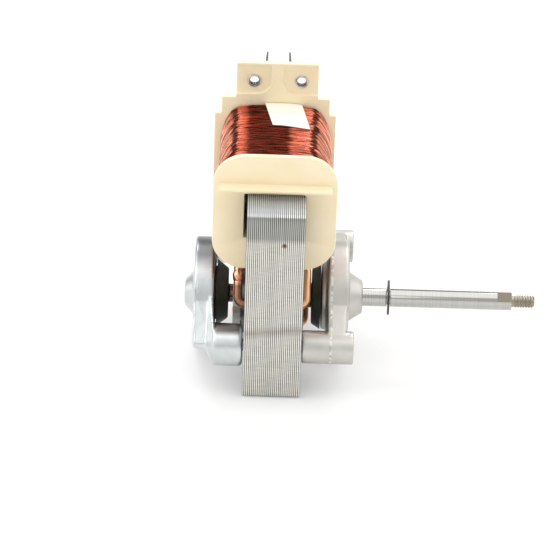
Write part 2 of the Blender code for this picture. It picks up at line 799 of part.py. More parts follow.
def make_drive_bracket():
    inner, outer = DRIVE_PLATE_INNER, DRIVE_PLATE_OUTER
    body = turned(
        [
            (inner, 0.0),
            (inner, DISC_RADIUS - 0.0004),
            (inner + 0.0004, DISC_RADIUS),
            (outer - 0.0006, DISC_RADIUS),
            (outer, DISC_RADIUS - 0.0006),
            (outer, DRIVE_HUB_RADIUS),
            (DRIVE_HUB_END - 0.0003, DRIVE_NOSE_RADIUS + 0.0003),
            (DRIVE_HUB_END, DRIVE_NOSE_RADIUS),
            (DRIVE_HUB_END, 0.0),
        ]
    )
    bracket = mesh_object("drive_bracket", body, cast_zinc(), radians(30))
    start = STACK_THICKNESS / 2 + FIT_GAP
    boss_end = DRIVE_BOSS_END
    cut(bracket, tube_x(DRIVE_HOUSING_END, inner + 0.001, HOUSING_RADIUS), "UNION")
    for side in (-1, 1):
        y, z = boss_place(side)
        span = (inner + 0.0004, outer - 0.0012)
        near = (inner + 0.0002, outer - 0.0004)
        web = arm(side, near, span, DRIVE_BOSS_RADIUS - 0.0003, round_root())
        cut(bracket, web, "UNION")
        boss = turned(
            [
                (start, 0.0),
                (start, DRIVE_BOSS_RADIUS),
                (boss_end - 0.0003, DRIVE_BOSS_RADIUS),
                (boss_end, DRIVE_BOSS_RADIUS - 0.0003),
                (boss_end, 0.0),
            ]
        )
        cut(bracket, moved(boss, 0, y, z), "UNION")
    hollow = turned(seat_profile(DRIVE_BEARING_X, 1, DRIVE_HOUSING_END, DRIVE_HUB_END))
    tools = hollow
    for side in (-1, 1):
        y, z = boss_place(side)
        join_into(tools, hole_along_x(start - 0.001, SCREW_TIP_X + FIT_GAP, y, z, SCREW_RADIUS + FIT_GAP))
        join_into(
            tools,
            hole_along_x(boss_end - MOUNT_HOLE_DEPTH, boss_end + 0.001, y, z, MOUNT_HOLE_RADIUS),
        )
    cut(bracket, tools)
    return bracket


def seat_profile(centre, outward, housing_end, hub_end):
    """Hollow for bearing and felt, a zone of a sphere that ends in the shaft's hole."""
    s = outward
    ball = BEARING_RADIUS + BEARING_GAP
    mouth = FELT_RADIUS + FIT_GAP
    profile = [
        (housing_end - s * 0.001, 0.0),
        (housing_end - s * 0.001, mouth),
        (centre + s * 0.0012, mouth),
        (centre + s * 0.0012, ball * cos(0.22)),
    ]
    for angle in (0.36, 0.54, 0.70):
        profile.append((centre + s * ball * sin(angle), ball * cos(angle)))
    if hub_end is None:
        profile.append((centre + s * (BEARING_LENGTH / 2 + 0.0014), 0.0042))
        profile.append((centre + s * (BEARING_LENGTH / 2 + 0.0014), 0.0))
        return profile
    profile.append((centre + s * (BEARING_LENGTH / 2 + 0.0008), 0.0042))
    profile.append((centre + s * (BEARING_LENGTH / 2 + 0.0008), SHAFT_RADIUS + 0.0005))
    profile.append((hub_end + s * 0.001, SHAFT_RADIUS + 0.0005))
    profile.append((hub_end + s * 0.001, 0.0))
    return profile


def make_rear_bracket():
    inner, outer = REAR_PLATE_INNER, REAR_PLATE_OUTER
    body = turned(
        [
            (inner, 0.0),
            (inner, DISC_RADIUS - 0.0004),
            (inner - 0.0004, DISC_RADIUS),
            (outer + 0.0006, DISC_RADIUS),
            (outer, DISC_RADIUS - 0.0006),
            (outer, REAR_HUB_RADIUS),
            (REAR_HUB_END + 0.0006, REAR_NOSE_RADIUS + 0.0006),
            (REAR_HUB_END, REAR_NOSE_RADIUS),
            (REAR_HUB_END, 0.0),
        ]
    )
    bracket = mesh_object("rear_bracket", body, cast_zinc(), radians(30))
    stop = -STACK_THICKNESS / 2 - FIT_GAP
    boss_outer = inner + 0.0006
    cut(bracket, tube_x(inner - 0.001, REAR_HOUSING_END, HOUSING_RADIUS), "UNION")
    for side in (-1, 1):
        y, z = boss_place(side)
        near = (outer + 0.0012, inner - 0.0002)
        far = (boss_outer + 0.0002, boss_outer + 0.0022)
        cut(bracket, arm(side, near, far, REAR_BOSS_RADIUS - 0.0002, strip_root()), "UNION")
        boss = turned(
            [
                (boss_outer, 0.0),
                (boss_outer, REAR_BOSS_RADIUS),
                (stop - 0.0010, REAR_BOSS_RADIUS),
                (stop, REAR_BOSS_RADIUS - 0.0012),
                (stop, 0.0),
            ]
        )
        cut(bracket, moved(boss, 0, y, z), "UNION")
    tools = turned(seat_profile(REAR_BEARING_X, -1, REAR_HOUSING_END, None))
    for side in (-1, 1):
        y, z = boss_place(side)
        join_into(tools, hole_along_x(SCREW_HEAD_X, stop + 0.001, y, z, SCREW_RADIUS + FIT_GAP))
        pocket_end = SCREW_HEAD_X + 0.0002
        join_into(tools, hole_along_x(outer - 0.001, pocket_end, y, z, SCREW_HEAD_RADIUS + FIT_GAP))
    cut(bracket, tools)
    return bracket


def make_bearing(name, centre):
    """Sintered bush with a spherical outside, free to align in its seat."""
    bore = SHAFT_RADIUS + BEARING_GAP
    half = BEARING_LENGTH / 2
    profile = [(-half, bore)]
    steps = 6
    for k in range(steps + 1):
        x = -half + BEARING_LENGTH * k / steps
        profile.append((x, (BEARING_RADIUS ** 2 - x ** 2) ** 0.5))
    profile.append((half, bore))
    bronze = material("sintered_bronze", (0.52, 0.36, 0.18), 0.5, 1.0)
    return mesh_object(name, turned(profile), bronze, radians(40), (centre, 0, 0))


def make_felt(name, x0, x1):
    """Oil-soaked felt ring round the bearing."""
    felt = material("oil_felt", (0.55, 0.50, 0.40), 0.95)
    a, b = min(x0, x1), max(x0, x1)
    return mesh_object(name, tube_x(a, b, FELT_RADIUS, BEARING_RADIUS + FIT_GAP), felt, radians(40))


def make_retainer(name, face, base, face_radius):
    """Pressed black cap: a cone that closes towards the rotor, holed for the shaft."""
    s = 1 if base > face else -1
    wall = RETAINER_WALL
    base_radius = HOUSING_RADIUS
    profile = [
        (face, RETAINER_HOLE),
        (face, face_radius - 0.0006),
        (face + s * 0.0005, face_radius),
        (base, base_radius),
        (base, base_radius - wall),
        (face + s * wall * 1.6, face_radius - wall),
        (face + s * wall, face_radius - wall * 1.6),
        (face + s * wall, RETAINER_HOLE),
    ]
    return mesh_object(name, turned(profile), black_steel(), radians(35))


def make_screw(name, side):
    """Screw from the rear bracket through the stack into the drive bracket's boss."""
    y, z = boss_place(side)
    head = SCREW_HEAD_X
    r = SCREW_HEAD_RADIUS
    under = head - FIT_GAP
    profile = [
        (under - SCREW_HEAD_LENGTH, 0.0),
        (under - SCREW_HEAD_LENGTH, r - 0.0006),
        (under - SCREW_HEAD_LENGTH + 0.0006, r),
        (under, r),
        (under, SCREW_RADIUS),
        (SCREW_TIP_X - 0.0005, SCREW_RADIUS),
        (SCREW_TIP_X, SCREW_RADIUS - 0.0005),
        (SCREW_TIP_X, 0.0),
    ]
    zinc = material("zinc_plated_steel", (0.62, 0.62, 0.60), 0.3, 1.0)
    screw = mesh_object(name, turned(profile, ROUND_SMALL), zinc, radians(40), (0, y, z))
    slot = rectangle(-r - 0.001, r + 0.001, -0.0005, 0.0005)
    end = under - SCREW_HEAD_LENGTH
    slot_bm = prism_x([(a, b) for a, b, c in slot], end - 0.001, end + 0.0010)
    cut(screw, slot_bm)
    return screw


# Rotor, turning about the X axis

def cage_bar_ends(k, x0, x1):
    ends = []
    for x, share in ((x0, -0.5), (x1, 0.5)):
        angle = 2 * pi * k / CAGE_BARS + CAGE_SKEW * share
        ends.append((x, CAGE_BAR_CIRCLE * cos(angle), CAGE_BAR_CIRCLE * sin(angle)))
    return ends


def cage_bars(radius, x0, x1):
    bars = bmesh.new()
    for k in range(CAGE_BARS):
        p0, p1 = cage_bar_ends(k, x0, x1)
        join_into(bars, rod_between(p0, p1, radius, 8))
    return bars


def make_rotor_core(parent):
    x0, x1 = ROTOR_START, ROTOR_START + ROTOR_LENGTH
    inner = SHAFT_RADIUS + FIT_GAP
    body = tube_x(x0, x1, ROTOR_RADIUS, inner, ROUND_BORE)
    core = mesh_object("rotor_core", body, electrical_steel(), radians(30))
    cut(core, cage_bars(CAGE_BAR_RADIUS + FIT_GAP, x0 - 0.002, x1 + 0.002))
    core.parent = parent
    return core


def make_cage(parent):
    """End rings and skewed bars, cast as one."""
    x0 = ROTOR_START - FIT_GAP
    x1 = ROTOR_START + ROTOR_LENGTH + FIT_GAP
    ring = tube_x(x0 - END_RING_LENGTH, x0, END_RING_OUTER, END_RING_INNER)
    cage = mesh_object("rotor_cage", ring, cast_aluminium(), radians(30))
    cut(cage, tube_x(x1, x1 + END_RING_LENGTH, END_RING_OUTER, END_RING_INNER), "UNION")
    cut(cage, cage_bars(CAGE_BAR_RADIUS, x0 - 0.001, x1 + 0.001), "UNION")
    cage.parent = parent
    return cage


def make_shaft(parent):
    r = SHAFT_RADIUS
    groove = RING_THICKNESS / 2 + FIT_GAP
    profile = [
        (SHAFT_REAR_END, 0.0),
        (SHAFT_REAR_END, r - 0.0006),
        (SHAFT_REAR_END + 0.0006, r),
        (RING_X - groove, r),
        (RING_X - groove, RING_GROOVE_RADIUS),
        (RING_X + groove, RING_GROOVE_RADIUS),
        (RING_X + groove, r),
        (SHAFT_SHOULDER - 0.0002, r),
        (SHAFT_SHOULDER, r - 0.0002),
        (SHAFT_SHOULDER, UNDERCUT_RADIUS + SEAT_FILLET),
        (SHAFT_SHOULDER + SEAT_FILLET * 0.3, UNDERCUT_RADIUS + SEAT_FILLET * 0.3),
        (SHAFT_SHOULDER + SEAT_FILLET, UNDERCUT_RADIUS),
        (SHAFT_SHOULDER + UNDERCUT_LENGTH, UNDERCUT_RADIUS),
        (SHAFT_SHOULDER + UNDERCUT_LENGTH + 0.0003, THREAD_RADIUS),
        (THREAD_END - 0.0006, THREAD_RADIUS),
        (THREAD_END, THREAD_RADIUS - 0.0006),
        (THREAD_END, 0.0),
    ]
    shaft = mesh_object("shaft", turned(profile), ground_steel(), radians(35))
    level = r - FLAT_DEPTH
    start = SHAFT_SHOULDER - FLAT_LENGTH
    slab = rectangle(-0.006, 0.006, level, 0.010)
    tool = prism_x([(a, b) for a, b, c in slab], start, SHAFT_SHOULDER + 0.0006)
    turn = Matrix.Rotation(pi / 2 - FLAT_ELEVATION, 3, "X")
    bmesh.ops.rotate(tool, verts=tool.verts, matrix=turn)
    cut(shaft, tool)
    shaft.parent = parent
    return shaft


def make_retaining_ring(parent):
    """Clip in the shaft's groove, open at one side, with three inner lands."""
    hold = RING_GROOVE_RADIUS + FIT_GAP
    free = hold + 0.0011
    gap = radians(36)
    outline = []
    steps = 30
    for k in range(steps + 1):
        angle = gap + (2 * pi - 2 * gap) * k / steps
        outline.append((RING_RADIUS * cos(angle), RING_RADIUS * sin(angle)))
    for k in range(steps + 1):
        angle = 2 * pi - gap - (2 * pi - 2 * gap) * k / steps
        near_land = min(abs(angle - place) for place in (gap, pi, 2 * pi - gap))
        radius = hold if near_land < radians(17) else free
        outline.append((radius * cos(angle), radius * sin(angle)))
    t = RING_THICKNESS / 2
    bm = prism_x(outline, RING_X - t, RING_X + t)
    bmesh.ops.rotate(bm, verts=bm.verts, matrix=Matrix.Rotation(radians(-70), 3, "X"))
    dark = material("spring_steel", (0.12, 0.12, 0.12), 0.35, 1.0)
    ring = mesh_object("retaining_ring", bm, dark)
    ring.parent = parent
    return ring


def make_rotor_rings(parent):
    """Spacer bush and the two thrust washers between rotor and bearings."""
    inner = SHAFT_RADIUS + FIT_GAP
    fibre = material("fibre_washer", (0.35, 0.22, 0.12), 0.7)
    bush = mesh_object(
        "spacer_bush", tube_x(SPACER_START, SPACER_END, SPACER_RADIUS, inner), black_steel(), radians(30)
    )
    drive_face = DRIVE_BEARING_X - BEARING_LENGTH / 2 - FIT_GAP
    rear_face = REAR_BEARING_X + BEARING_LENGTH / 2 + FIT_GAP
    drive = tube_x(drive_face - WASHER_THICKNESS, drive_face, WASHER_RADIUS, inner)
    rear = tube_x(rear_face, rear_face + WASHER_THICKNESS, WASHER_RADIUS, inner)
    washers = [
        mesh_object("thrust_washer_drive", drive, fibre, radians(30)),
        mesh_object("thrust_washer_rear", rear, fibre, radians(30)),
    ]
    for obj in (bush, *washers):
        obj.parent = parent
    return [bush, *washers]


def stand_on_base():
    """Hangs every piece on one empty at the shaft's height above the base."""
    line = bpy.data.objects.new("shaft_line", None)
    line.location.z = STACK_BASE
    for obj in list(bpy.data.objects):
        if obj is not line and obj.parent is None:
            obj.parent = line
    bpy.context.scene.collection.objects.link(line)


def main():
    clear_scene()
    make_yoke()
    make_core_bar()
    make_shading_ring("shading_ring_front", -1)
    make_shading_ring("shading_ring_rear", 1)
    make_bobbin()
    make_winding()
    make_paper()
    make_terminal("terminal_left", -1)
    make_terminal("terminal_right", 1)
    make_eyelet("eyelet_left", -1)
    make_eyelet("eyelet_right", 1)
    make_drive_bracket()
    make_rear_bracket()
    make_bearing("drive_bearing", DRIVE_BEARING_X)
    make_bearing("rear_bearing", REAR_BEARING_X)
    drive_felt_start = DRIVE_RETAINER_FACE + DRIVE_FELT_SETBACK
    rear_felt_start = REAR_RETAINER_FACE - REAR_FELT_SETBACK
    make_felt("drive_felt", drive_felt_start, DRIVE_BEARING_X + FELT_REACH)
    make_felt("rear_felt", rear_felt_start, REAR_BEARING_X - FELT_REACH)
    drive_base = DRIVE_HOUSING_END - FIT_GAP
    rear_base = REAR_HOUSING_END + FIT_GAP
    make_retainer("drive_retainer", DRIVE_RETAINER_FACE, drive_base, DRIVE_RETAINER_RADIUS)
    make_retainer("rear_retainer", REAR_RETAINER_FACE, rear_base, REAR_RETAINER_RADIUS)
    make_screw("through_screw_front", -1)
    make_screw("through_screw_rear", 1)
    rotor = bpy.data.objects.new("rotor_axis", None)
    bpy.context.scene.collection.objects.link(rotor)
    make_shaft(rotor)
    make_rotor_core(rotor)
    make_cage(rotor)
    make_rotor_rings(rotor)
    make_retaining_ring(rotor)
    stand_on_base()


main()
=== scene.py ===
"""Looks of the oven fan motor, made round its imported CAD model.

The frame is in metres, with the origin under the shaft in the middle of the stack's base. The
pieces are drawn in millimetres and brought to metres when they are finished.
"""

import random
from math import atan2, cos, hypot, pi, radians, sin, tan

import bmesh
import bpy
from mathutils import Matrix, Vector, noise


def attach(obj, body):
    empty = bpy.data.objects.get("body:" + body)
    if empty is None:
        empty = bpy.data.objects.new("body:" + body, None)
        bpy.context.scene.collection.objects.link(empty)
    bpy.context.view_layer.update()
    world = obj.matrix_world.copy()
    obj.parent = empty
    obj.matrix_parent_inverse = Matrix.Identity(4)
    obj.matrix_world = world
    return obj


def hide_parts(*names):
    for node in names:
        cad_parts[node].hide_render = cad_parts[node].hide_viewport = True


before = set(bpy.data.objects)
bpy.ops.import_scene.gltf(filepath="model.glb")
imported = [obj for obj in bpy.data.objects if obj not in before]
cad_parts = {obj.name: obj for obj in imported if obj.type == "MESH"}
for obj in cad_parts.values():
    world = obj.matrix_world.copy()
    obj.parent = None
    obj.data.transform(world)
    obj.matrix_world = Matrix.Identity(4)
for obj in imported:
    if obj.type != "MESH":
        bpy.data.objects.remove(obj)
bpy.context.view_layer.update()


# Room. A pale table under wide soft boxes, with a dimmer room in front of the motor and behind it,
# which draws the dark bands on bright metal. The long lens looks down by 31 degrees.

CAMERA_PLACE = (-0.008388, -1.111078, 0.694888)
PITCH, YAW, ROLL = radians(31.0), radians(0.45), radians(2.0)
LENS = 260.2
# How much plain white lifts the table: less close before the foot, which paints a deeper shadow there.
LIFT_IN_PAINTED_SHADOW, LIFT = 0.1, 0.45
PAINTED_SHADOW_CENTRE = (0.0, -0.034, 0.0)
# The room's light by height, from the front horizon over the top to the back horizon.
ROOM_BANDS = ((0.00, 0.66), (0.06, 0.66), (0.10, 0.40), (0.32, 0.40), (0.37, 0.95),
              (0.76, 0.95), (0.81, 0.20), (0.93, 0.20), (0.96, 0.66))
ROOM_STRENGTH = 1.76


def linear(code):
    """An sRGB hex colour as the linear colour that a shader takes."""
    parts = [int(code[i:i + 2], 16) / 255 for i in (1, 3, 5)]
    return (*[c / 12.92 if c <= 0.04045 else ((c + 0.055) / 1.055) ** 2.4 for c in parts], 1.0)


def feed(node, inputs):
    """Gives a node's inputs, each as a value or as the socket that feeds it."""
    for name, value in inputs.items():
        if isinstance(value, bpy.types.NodeSocket):
            node.id_data.links.new(value, node.inputs[name])
        else:
            node.inputs[name].default_value = value


def add(owner, kind, inputs=None, **settings):
    """Adds a node to a material or a world."""
    node = owner.node_tree.nodes.new(kind)
    for name, value in settings.items():
        setattr(node, name, value)
    feed(node, inputs or {})
    return node


def start_finish(name, colour, roughness, metallic=0.0):
    """A material with its main shader set; the colour shows where its nodes aren't read."""
    material = bpy.data.materials.new(name)
    material.use_nodes = True
    shader = material.node_tree.nodes["Principled BSDF"]
    feed(shader, {"Base Color": linear(colour), "Roughness": roughness, "Metallic": metallic})
    return material, shader


def place_on(owner):
    """The place on the object, in metres."""
    return add(owner, "ShaderNodeTexCoord").outputs["Object"]


def parts_of(owner, vector):
    """The X, Y and Z of a vector."""
    return add(owner, "ShaderNodeSeparateXYZ", {0: vector}).outputs


def reckon(owner, operation, *values):
    """Sums on numbers or sockets."""
    return add(owner, "ShaderNodeMath", dict(enumerate(values)), operation=operation).outputs[0]


def spread(owner, value, start=0.0, end=1.0, low=0.0, high=1.0):
    """Maps start to end onto low to high, and holds it there."""
    ends = {"Value": value, "From Min": start, "From Max": end, "To Min": low, "To Max": high}
    return add(owner, "ShaderNodeMapRange", ends).outputs["Result"]


def distance_to(owner, where, point):
    return add(owner, "ShaderNodeVectorMath", {0: where, 1: point}, operation="DISTANCE").outputs["Value"]


def mixed(owner, share, first, second):
    """A colour between two, each a hex colour or a socket."""
    first, second = [linear(tone) if isinstance(tone, str) else tone for tone in (first, second)]
    return add(owner, "ShaderNodeMix", {0: share, 6: first, 7: second}, data_type="RGBA").outputs[2]


def ramp(owner, value, stops):
    """A colour ramp from (place, colour) stops."""
    node = add(owner, "ShaderNodeValToRGB", {0: value})
    for place, colour in stops[1:-1]:
        node.color_ramp.elements.new(place)
    for element, (place, colour) in zip(node.color_ramp.elements, stops):
        element.position = place
        element.color = colour
    return node.outputs["Color"]


def show(name, data):
    """A new object in the scene."""
    obj = bpy.data.objects.new(name, data)
    bpy.context.scene.collection.objects.link(obj)
    return obj


camera_data = bpy.data.cameras.new("camera")
camera_data.sensor_width = 36.0
camera_data.lens = LENS
camera = show("camera", camera_data)
look = Vector((sin(YAW) * cos(PITCH), cos(YAW) * cos(PITCH), -sin(PITCH)))
level = Vector((cos(YAW), -sin(YAW), 0.0))
over = level.cross(look)
right = level * cos(ROLL) + over * sin(ROLL)
up = over * cos(ROLL) - level * sin(ROLL)
facing = Matrix((right, up, -look)).transposed().to_4x4()
camera.matrix_world = Matrix.Translation(CAMERA_PLACE) @ facing
bpy.context.scene.camera = camera
bpy.context.scene.view_settings.view_transform = "Standard"

# White laminate, matt: nearly even, and lifted by plain white where it is looked at, so that it runs
# into the white ground and keeps the motor's soft shadow.
table, table_shader = start_finish("laminated_table_white", "#EFEFED", 0.9)
table_mottle = add(table, "ShaderNodeTexNoise", {"Scale": 40.0, "Detail": 3.0}).outputs["Fac"]
feed(table_shader, {"Base Color": mixed(table, table_mottle, "#EDEDEB", "#F1F1EF"), "Specular IOR Level": 0.1})
ray = add(table, "ShaderNodeLightPath").outputs
seen = reckon(table, "MAXIMUM", ray["Is Camera Ray"], ray["Is Glossy Ray"])
seen = reckon(table, "MAXIMUM", seen, ray["Is Transmission Ray"])
# Close before the foot the white lift is smaller: a painted shadow.
from_painted_shadow = distance_to(table, place_on(table), PAINTED_SHADOW_CENTRE)
lift = reckon(table, "MULTIPLY", seen, spread(table, from_painted_shadow, 0.006, 0.024, LIFT_IN_PAINTED_SHADOW, LIFT))
white = add(table, "ShaderNodeEmission", {"Color": (1, 1, 1, 1), "Strength": 1.0})
both = add(table, "ShaderNodeMixShader", {0: lift, 1: table_shader.outputs[0], 2: white.outputs[0]})
feed(table.node_tree.nodes["Material Output"], {"Surface": both.outputs[0]})

floor_bm = bmesh.new()
bmesh.ops.create_circle(floor_bm, cap_ends=True, segments=64, radius=3.0)
bmesh.ops.translate(floor_bm, verts=floor_bm.verts, vec=(0, 0, -0.00004))
floor_mesh = bpy.data.meshes.new("table")
floor_bm.to_mesh(floor_mesh)
floor_bm.free()
floor_mesh.materials.append(table)
floor = show("table", floor_mesh)

world = bpy.data.worlds.new("room")
world.use_nodes = True
bpy.context.scene.world = world
heading = parts_of(world, add(world, "ShaderNodeTexCoord").outputs["Generated"])
height = reckon(world, "ARCTAN2", heading["Z"], reckon(world, "MULTIPLY", heading["Y"], -1.0))
bands = ramp(world, reckon(world, "DIVIDE", height, pi), [(place, (v, v, v, 1.0)) for place, v in ROOM_BANDS])
feed(world.node_tree.nodes["Background"], {"Color": bands, "Strength": ROOM_STRENGTH})

# Each soft box is its name, place, aim, size and power.
for name, place, aim, size, power in (
    ("box_front", (-0.35, -0.95, 0.95), (0.0, 0.0, 0.04), 0.55, 0.9),
    ("box_left", (-0.90, -0.10, 0.55), (0.0, 0.0, 0.03), 0.50, 1.2),
    ("box_back_left", (-0.30, 0.75, 0.62), (0.0, 0.0, 0.07), 0.30, 2.1),
    ("box_back_right", (0.30, 0.75, 0.62), (0.0, 0.0, 0.07), 0.30, 2.1),
):
    lamp = bpy.data.lights.new(name, "AREA")
    lamp.shape = "SQUARE"
    lamp.size = size
    lamp.energy = power
    box = show(name, lamp)
    box.location = place
    box.rotation_euler = (Vector(place) - Vector(aim)).to_track_quat("Z", "Y").to_euler()
    box.visible_camera = False


# Lamination stack. Thirty punched sheets of electrical steel, 0.62 mm each, held by the screws
# through the brackets. The punch leaves a burnished rim on every sheet, and the seams show as
# fine dark lines. The legs' upper ends are painted darker as shade, with a painted highlight on the top corner.

MM = 0.001
AXIS_Z = 20.0
SHEETS = 30
SHEET = 0.62
RIM = 0.11
BORE = 13.27
SLOT_REACH = 17.1
SLOT_ANGLES = (radians(20), radians(64))
SLOT_BORE = 1.65
SCREW_OUT, SCREW_UP = 25.0, 4.3
SCREW_BORE = 2.3
# One half of a sheet as (y, z, radius) corners, from between the legs over the bar's dovetail, round
# the leg's top and down to the base.
half_outline = [
    (2.4, 35.17, 1.0), (2.4, 39.9, 0.5), (19.3, 39.9, 0.8), (19.3, 57.65, 0.0), (23.5, 56.35, 0.3),
    (23.5, 64.15, 0.3), (19.3, 62.85, 0.0), (19.3, 68.0, 0.5), (30.6, 68.0, 4.0), (30.6, 57.6, 3.0),
    (31.4, 28.0, 3.0), (31.3, 22.8, 3.0), (31.7, 6.0, 2.0), (31.8, 0.0, 1.6),
]


def slot_place(side, angle):
    """Where a run of a shading ring goes through the stack, as y and z."""
    return side * SLOT_REACH * cos(angle), AXIS_Z - side * SLOT_REACH * sin(angle)


def screw_place(side):
    """Where a through screw runs, as y and z."""
    return side * SCREW_OUT, AXIS_Z + side * SCREW_UP


def rounded_face(corners, segments=8):
    """A flat face from (point, radius) corners."""
    bm = bmesh.new()
    places = [Vector(point) for point, radius in corners]
    verts = [bm.verts.new(place) for place in places]
    bm.faces.new(verts)
    for i, (point, radius) in enumerate(corners):
        if radius <= 0.0:
            continue
        back_edge = places[i - 1] - places[i]
        next_edge = places[(i + 1) % len(corners)] - places[i]
        reach = radius / tan(back_edge.angle(next_edge) / 2)
        bmesh.ops.bevel(
            bm, geom=[verts[i]], offset=reach, offset_type="OFFSET", affect="VERTICES",
            segments=segments, profile=0.5, material=-1, clamp_overlap=False,
        )
    return bm


def thickened(bm, vec):
    """Extrudes all faces to a closed solid."""
    grown = bmesh.ops.extrude_face_region(bm, geom=bm.faces[:])
    verts = [g for g in grown["geom"] if isinstance(g, bmesh.types.BMVert)]
    bmesh.ops.translate(bm, verts=verts, vec=vec)
    bmesh.ops.recalc_face_normals(bm, faces=bm.faces)
    return bm


def bar(corners, x, length, segments=8):
    """A straight bar along X from (y, z, radius) corners."""
    face = rounded_face([((x, y, z), radius) for y, z, radius in corners], segments)
    return thickened(face, (length, 0, 0))


def shifted(bm, x=0.0, y=0.0, z=0.0):
    bmesh.ops.translate(bm, verts=bm.verts, vec=(x, y, z))
    return bm


def joined(*shells):
    """All shells in one bmesh."""
    bm = bmesh.new()
    for shell in shells:
        mesh = bpy.data.meshes.new("shell")
        shell.to_mesh(mesh)
        shell.free()
        bm.from_mesh(mesh)
        bpy.data.meshes.remove(mesh)
    return bm


def turned(corners, steps=72, y=0.0, z=AXIS_Z):
    """Spins an outline of (x, radius, fillet) corners about a line along X."""
    bm = rounded_face([((x, 0.0, radius), fillet) for x, radius, fillet in corners], 4)
    bmesh.ops.delete(bm, geom=bm.faces[:], context="FACES_ONLY")
    on_axis = [e for e in bm.edges if all(abs(v.co.z) < 1e-5 for v in e.verts)]
    bmesh.ops.delete(bm, geom=on_axis, context="EDGES")
    bmesh.ops.spin(
        bm, geom=bm.verts[:] + bm.edges[:], cent=(0, 0, 0), axis=(1, 0, 0), dvec=(0, 0, 0),
        angle=2 * pi, steps=steps, use_merge=True, use_duplicate=False,
    )
    bmesh.ops.remove_doubles(bm, verts=bm.verts, dist=0.0005)
    bmesh.ops.recalc_face_normals(bm, faces=bm.faces)
    return shifted(bm, 0.0, y, z)


def rod(x0, x1, radius, y=0.0, z=AXIS_Z, steps=32):
    return turned([(x0, 0, 0), (x0, radius, 0), (x1, radius, 0), (x1, 0, 0)], steps, y, z)


def as_built(obj):
    """Takes an object out of the scene as the bmesh that it shows."""
    bpy.context.view_layer.update()
    mesh = bpy.data.meshes.new_from_object(obj.evaluated_get(bpy.context.evaluated_depsgraph_get()))
    bm = bmesh.new()
    bm.from_mesh(mesh)
    bpy.data.meshes.remove(mesh)
    bpy.data.objects.remove(obj)
    return bm


def at_work(bm):
    """A bmesh as an object, for modifiers."""
    mesh = bpy.data.meshes.new("work")
    bm.to_mesh(mesh)
    bm.free()
    return show("work", mesh)


def shaped(bm, *steps):
    """Runs a bmesh through modifiers, each given as (kind, settings)."""
    work = at_work(bm)
    tools = []
    for kind, settings in steps:
        step = work.modifiers.new(kind, kind)
        for name, value in settings.items():
            if isinstance(value, bmesh.types.BMesh):
                value = at_work(value)
                tools.append(value)
            setattr(step, name, value)
    result = as_built(work)
    for tool in tools:
        bpy.data.objects.remove(tool)
    return result


def piece(name, bm, finish, sharp=35):
    """A finished object in metres, at the origin."""
    bmesh.ops.scale(bm, verts=bm.verts, vec=(MM, MM, MM))
    mesh = bpy.data.meshes.new(name)
    bm.to_mesh(mesh)
    bm.free()
    mesh.materials.clear()
    mesh.materials.append(finish)
    mesh.shade_smooth()
    mesh.set_sharp_from_angle(angle=radians(sharp))
    return show(name, mesh)


sheet = bar(half_outline + [(-y, z, radius) for y, z, radius in reversed(half_outline)], 0.0, SHEET, 10)
# The bore, the rings' slots with a mouth from the first one to the bore, the screws' holes and the
# round-ended slot at the base.
holes = [rod(-1, 2, BORE, steps=96)]
for side in (-1, 1):
    for angle in SLOT_ANGLES:
        holes.append(rod(-1, 2, SLOT_BORE, *slot_place(side, angle), 24))
    mouth = bar([(12.5, -0.5, 0), (17.0, -0.5, 0), (17.0, 0.5, 0), (12.5, 0.5, 0)], -1, 3)
    lean = atan2(-side * sin(SLOT_ANGLES[0]), side * cos(SLOT_ANGLES[0]))
    bmesh.ops.rotate(mouth, verts=mouth.verts, matrix=Matrix.Rotation(lean, 3, "X"))
    holes.append(shifted(mouth, 0, 0, AXIS_Z))
    holes.append(rod(-1, 2, SCREW_BORE, *screw_place(side), 24))
holes.append(bar([(-2.4, 2.03, 1.2), (2.4, 2.03, 1.2), (2.4, 4.83, 1.2), (-2.4, 4.83, 1.2)], -1, 3, 6))
sheet = shaped(sheet, ("BOOLEAN", {"solver": "EXACT", "use_self": True, "object": joined(*holes)}))
rims = [
    e for e in sheet.edges
    if len(e.link_faces) == 2 and sorted(abs(f.normal.x) > 0.9 for f in e.link_faces) == [False, True]
]
bmesh.ops.bevel(
    sheet, geom=rims, offset=RIM, offset_type="OFFSET", affect="EDGES", segments=1, profile=0.5,
    material=-1, clamp_overlap=True,
)
one_sheet = bpy.data.meshes.new("sheet")
sheet.to_mesh(one_sheet)
sheet.free()
stack_bm = bmesh.new()
shake = random.Random(11)
for k in range(SHEETS):
    before = len(stack_bm.verts)
    stack_bm.from_mesh(one_sheet)
    stack_bm.verts.ensure_lookup_table()
    slip = (k * SHEET - SHEETS * SHEET / 2, shake.uniform(-0.03, 0.03), shake.uniform(0.0, 0.03))
    bmesh.ops.translate(stack_bm, verts=stack_bm.verts[before:], vec=slip)
bpy.data.meshes.remove(one_sheet)


def mottle(owner, where, scale, detail):
    """Cloudy noise from 0 to 1."""
    return add(owner, "ShaderNodeTexNoise", {"Vector": where, "Scale": scale, "Detail": detail}).outputs["Fac"]


def streaks(owner, where, scales, detail):
    """Cloudy noise with a scale of its own along each axis."""
    stretch = add(owner, "ShaderNodeMapping", {"Vector": where, "Scale": scales})
    return mottle(owner, stretch.outputs[0], 1.0, detail)


def scaled(owner, colour, share):
    return add(owner, "ShaderNodeVectorMath", {0: colour, "Scale": share}, operation="SCALE").outputs["Vector"]


def relief(owner, pattern, strength, depth):
    """The normal of a surface that a pattern roughens."""
    bump = add(owner, "ShaderNodeBump", {"Height": pattern, "Strength": strength, "Distance": depth})
    return bump.outputs["Normal"]
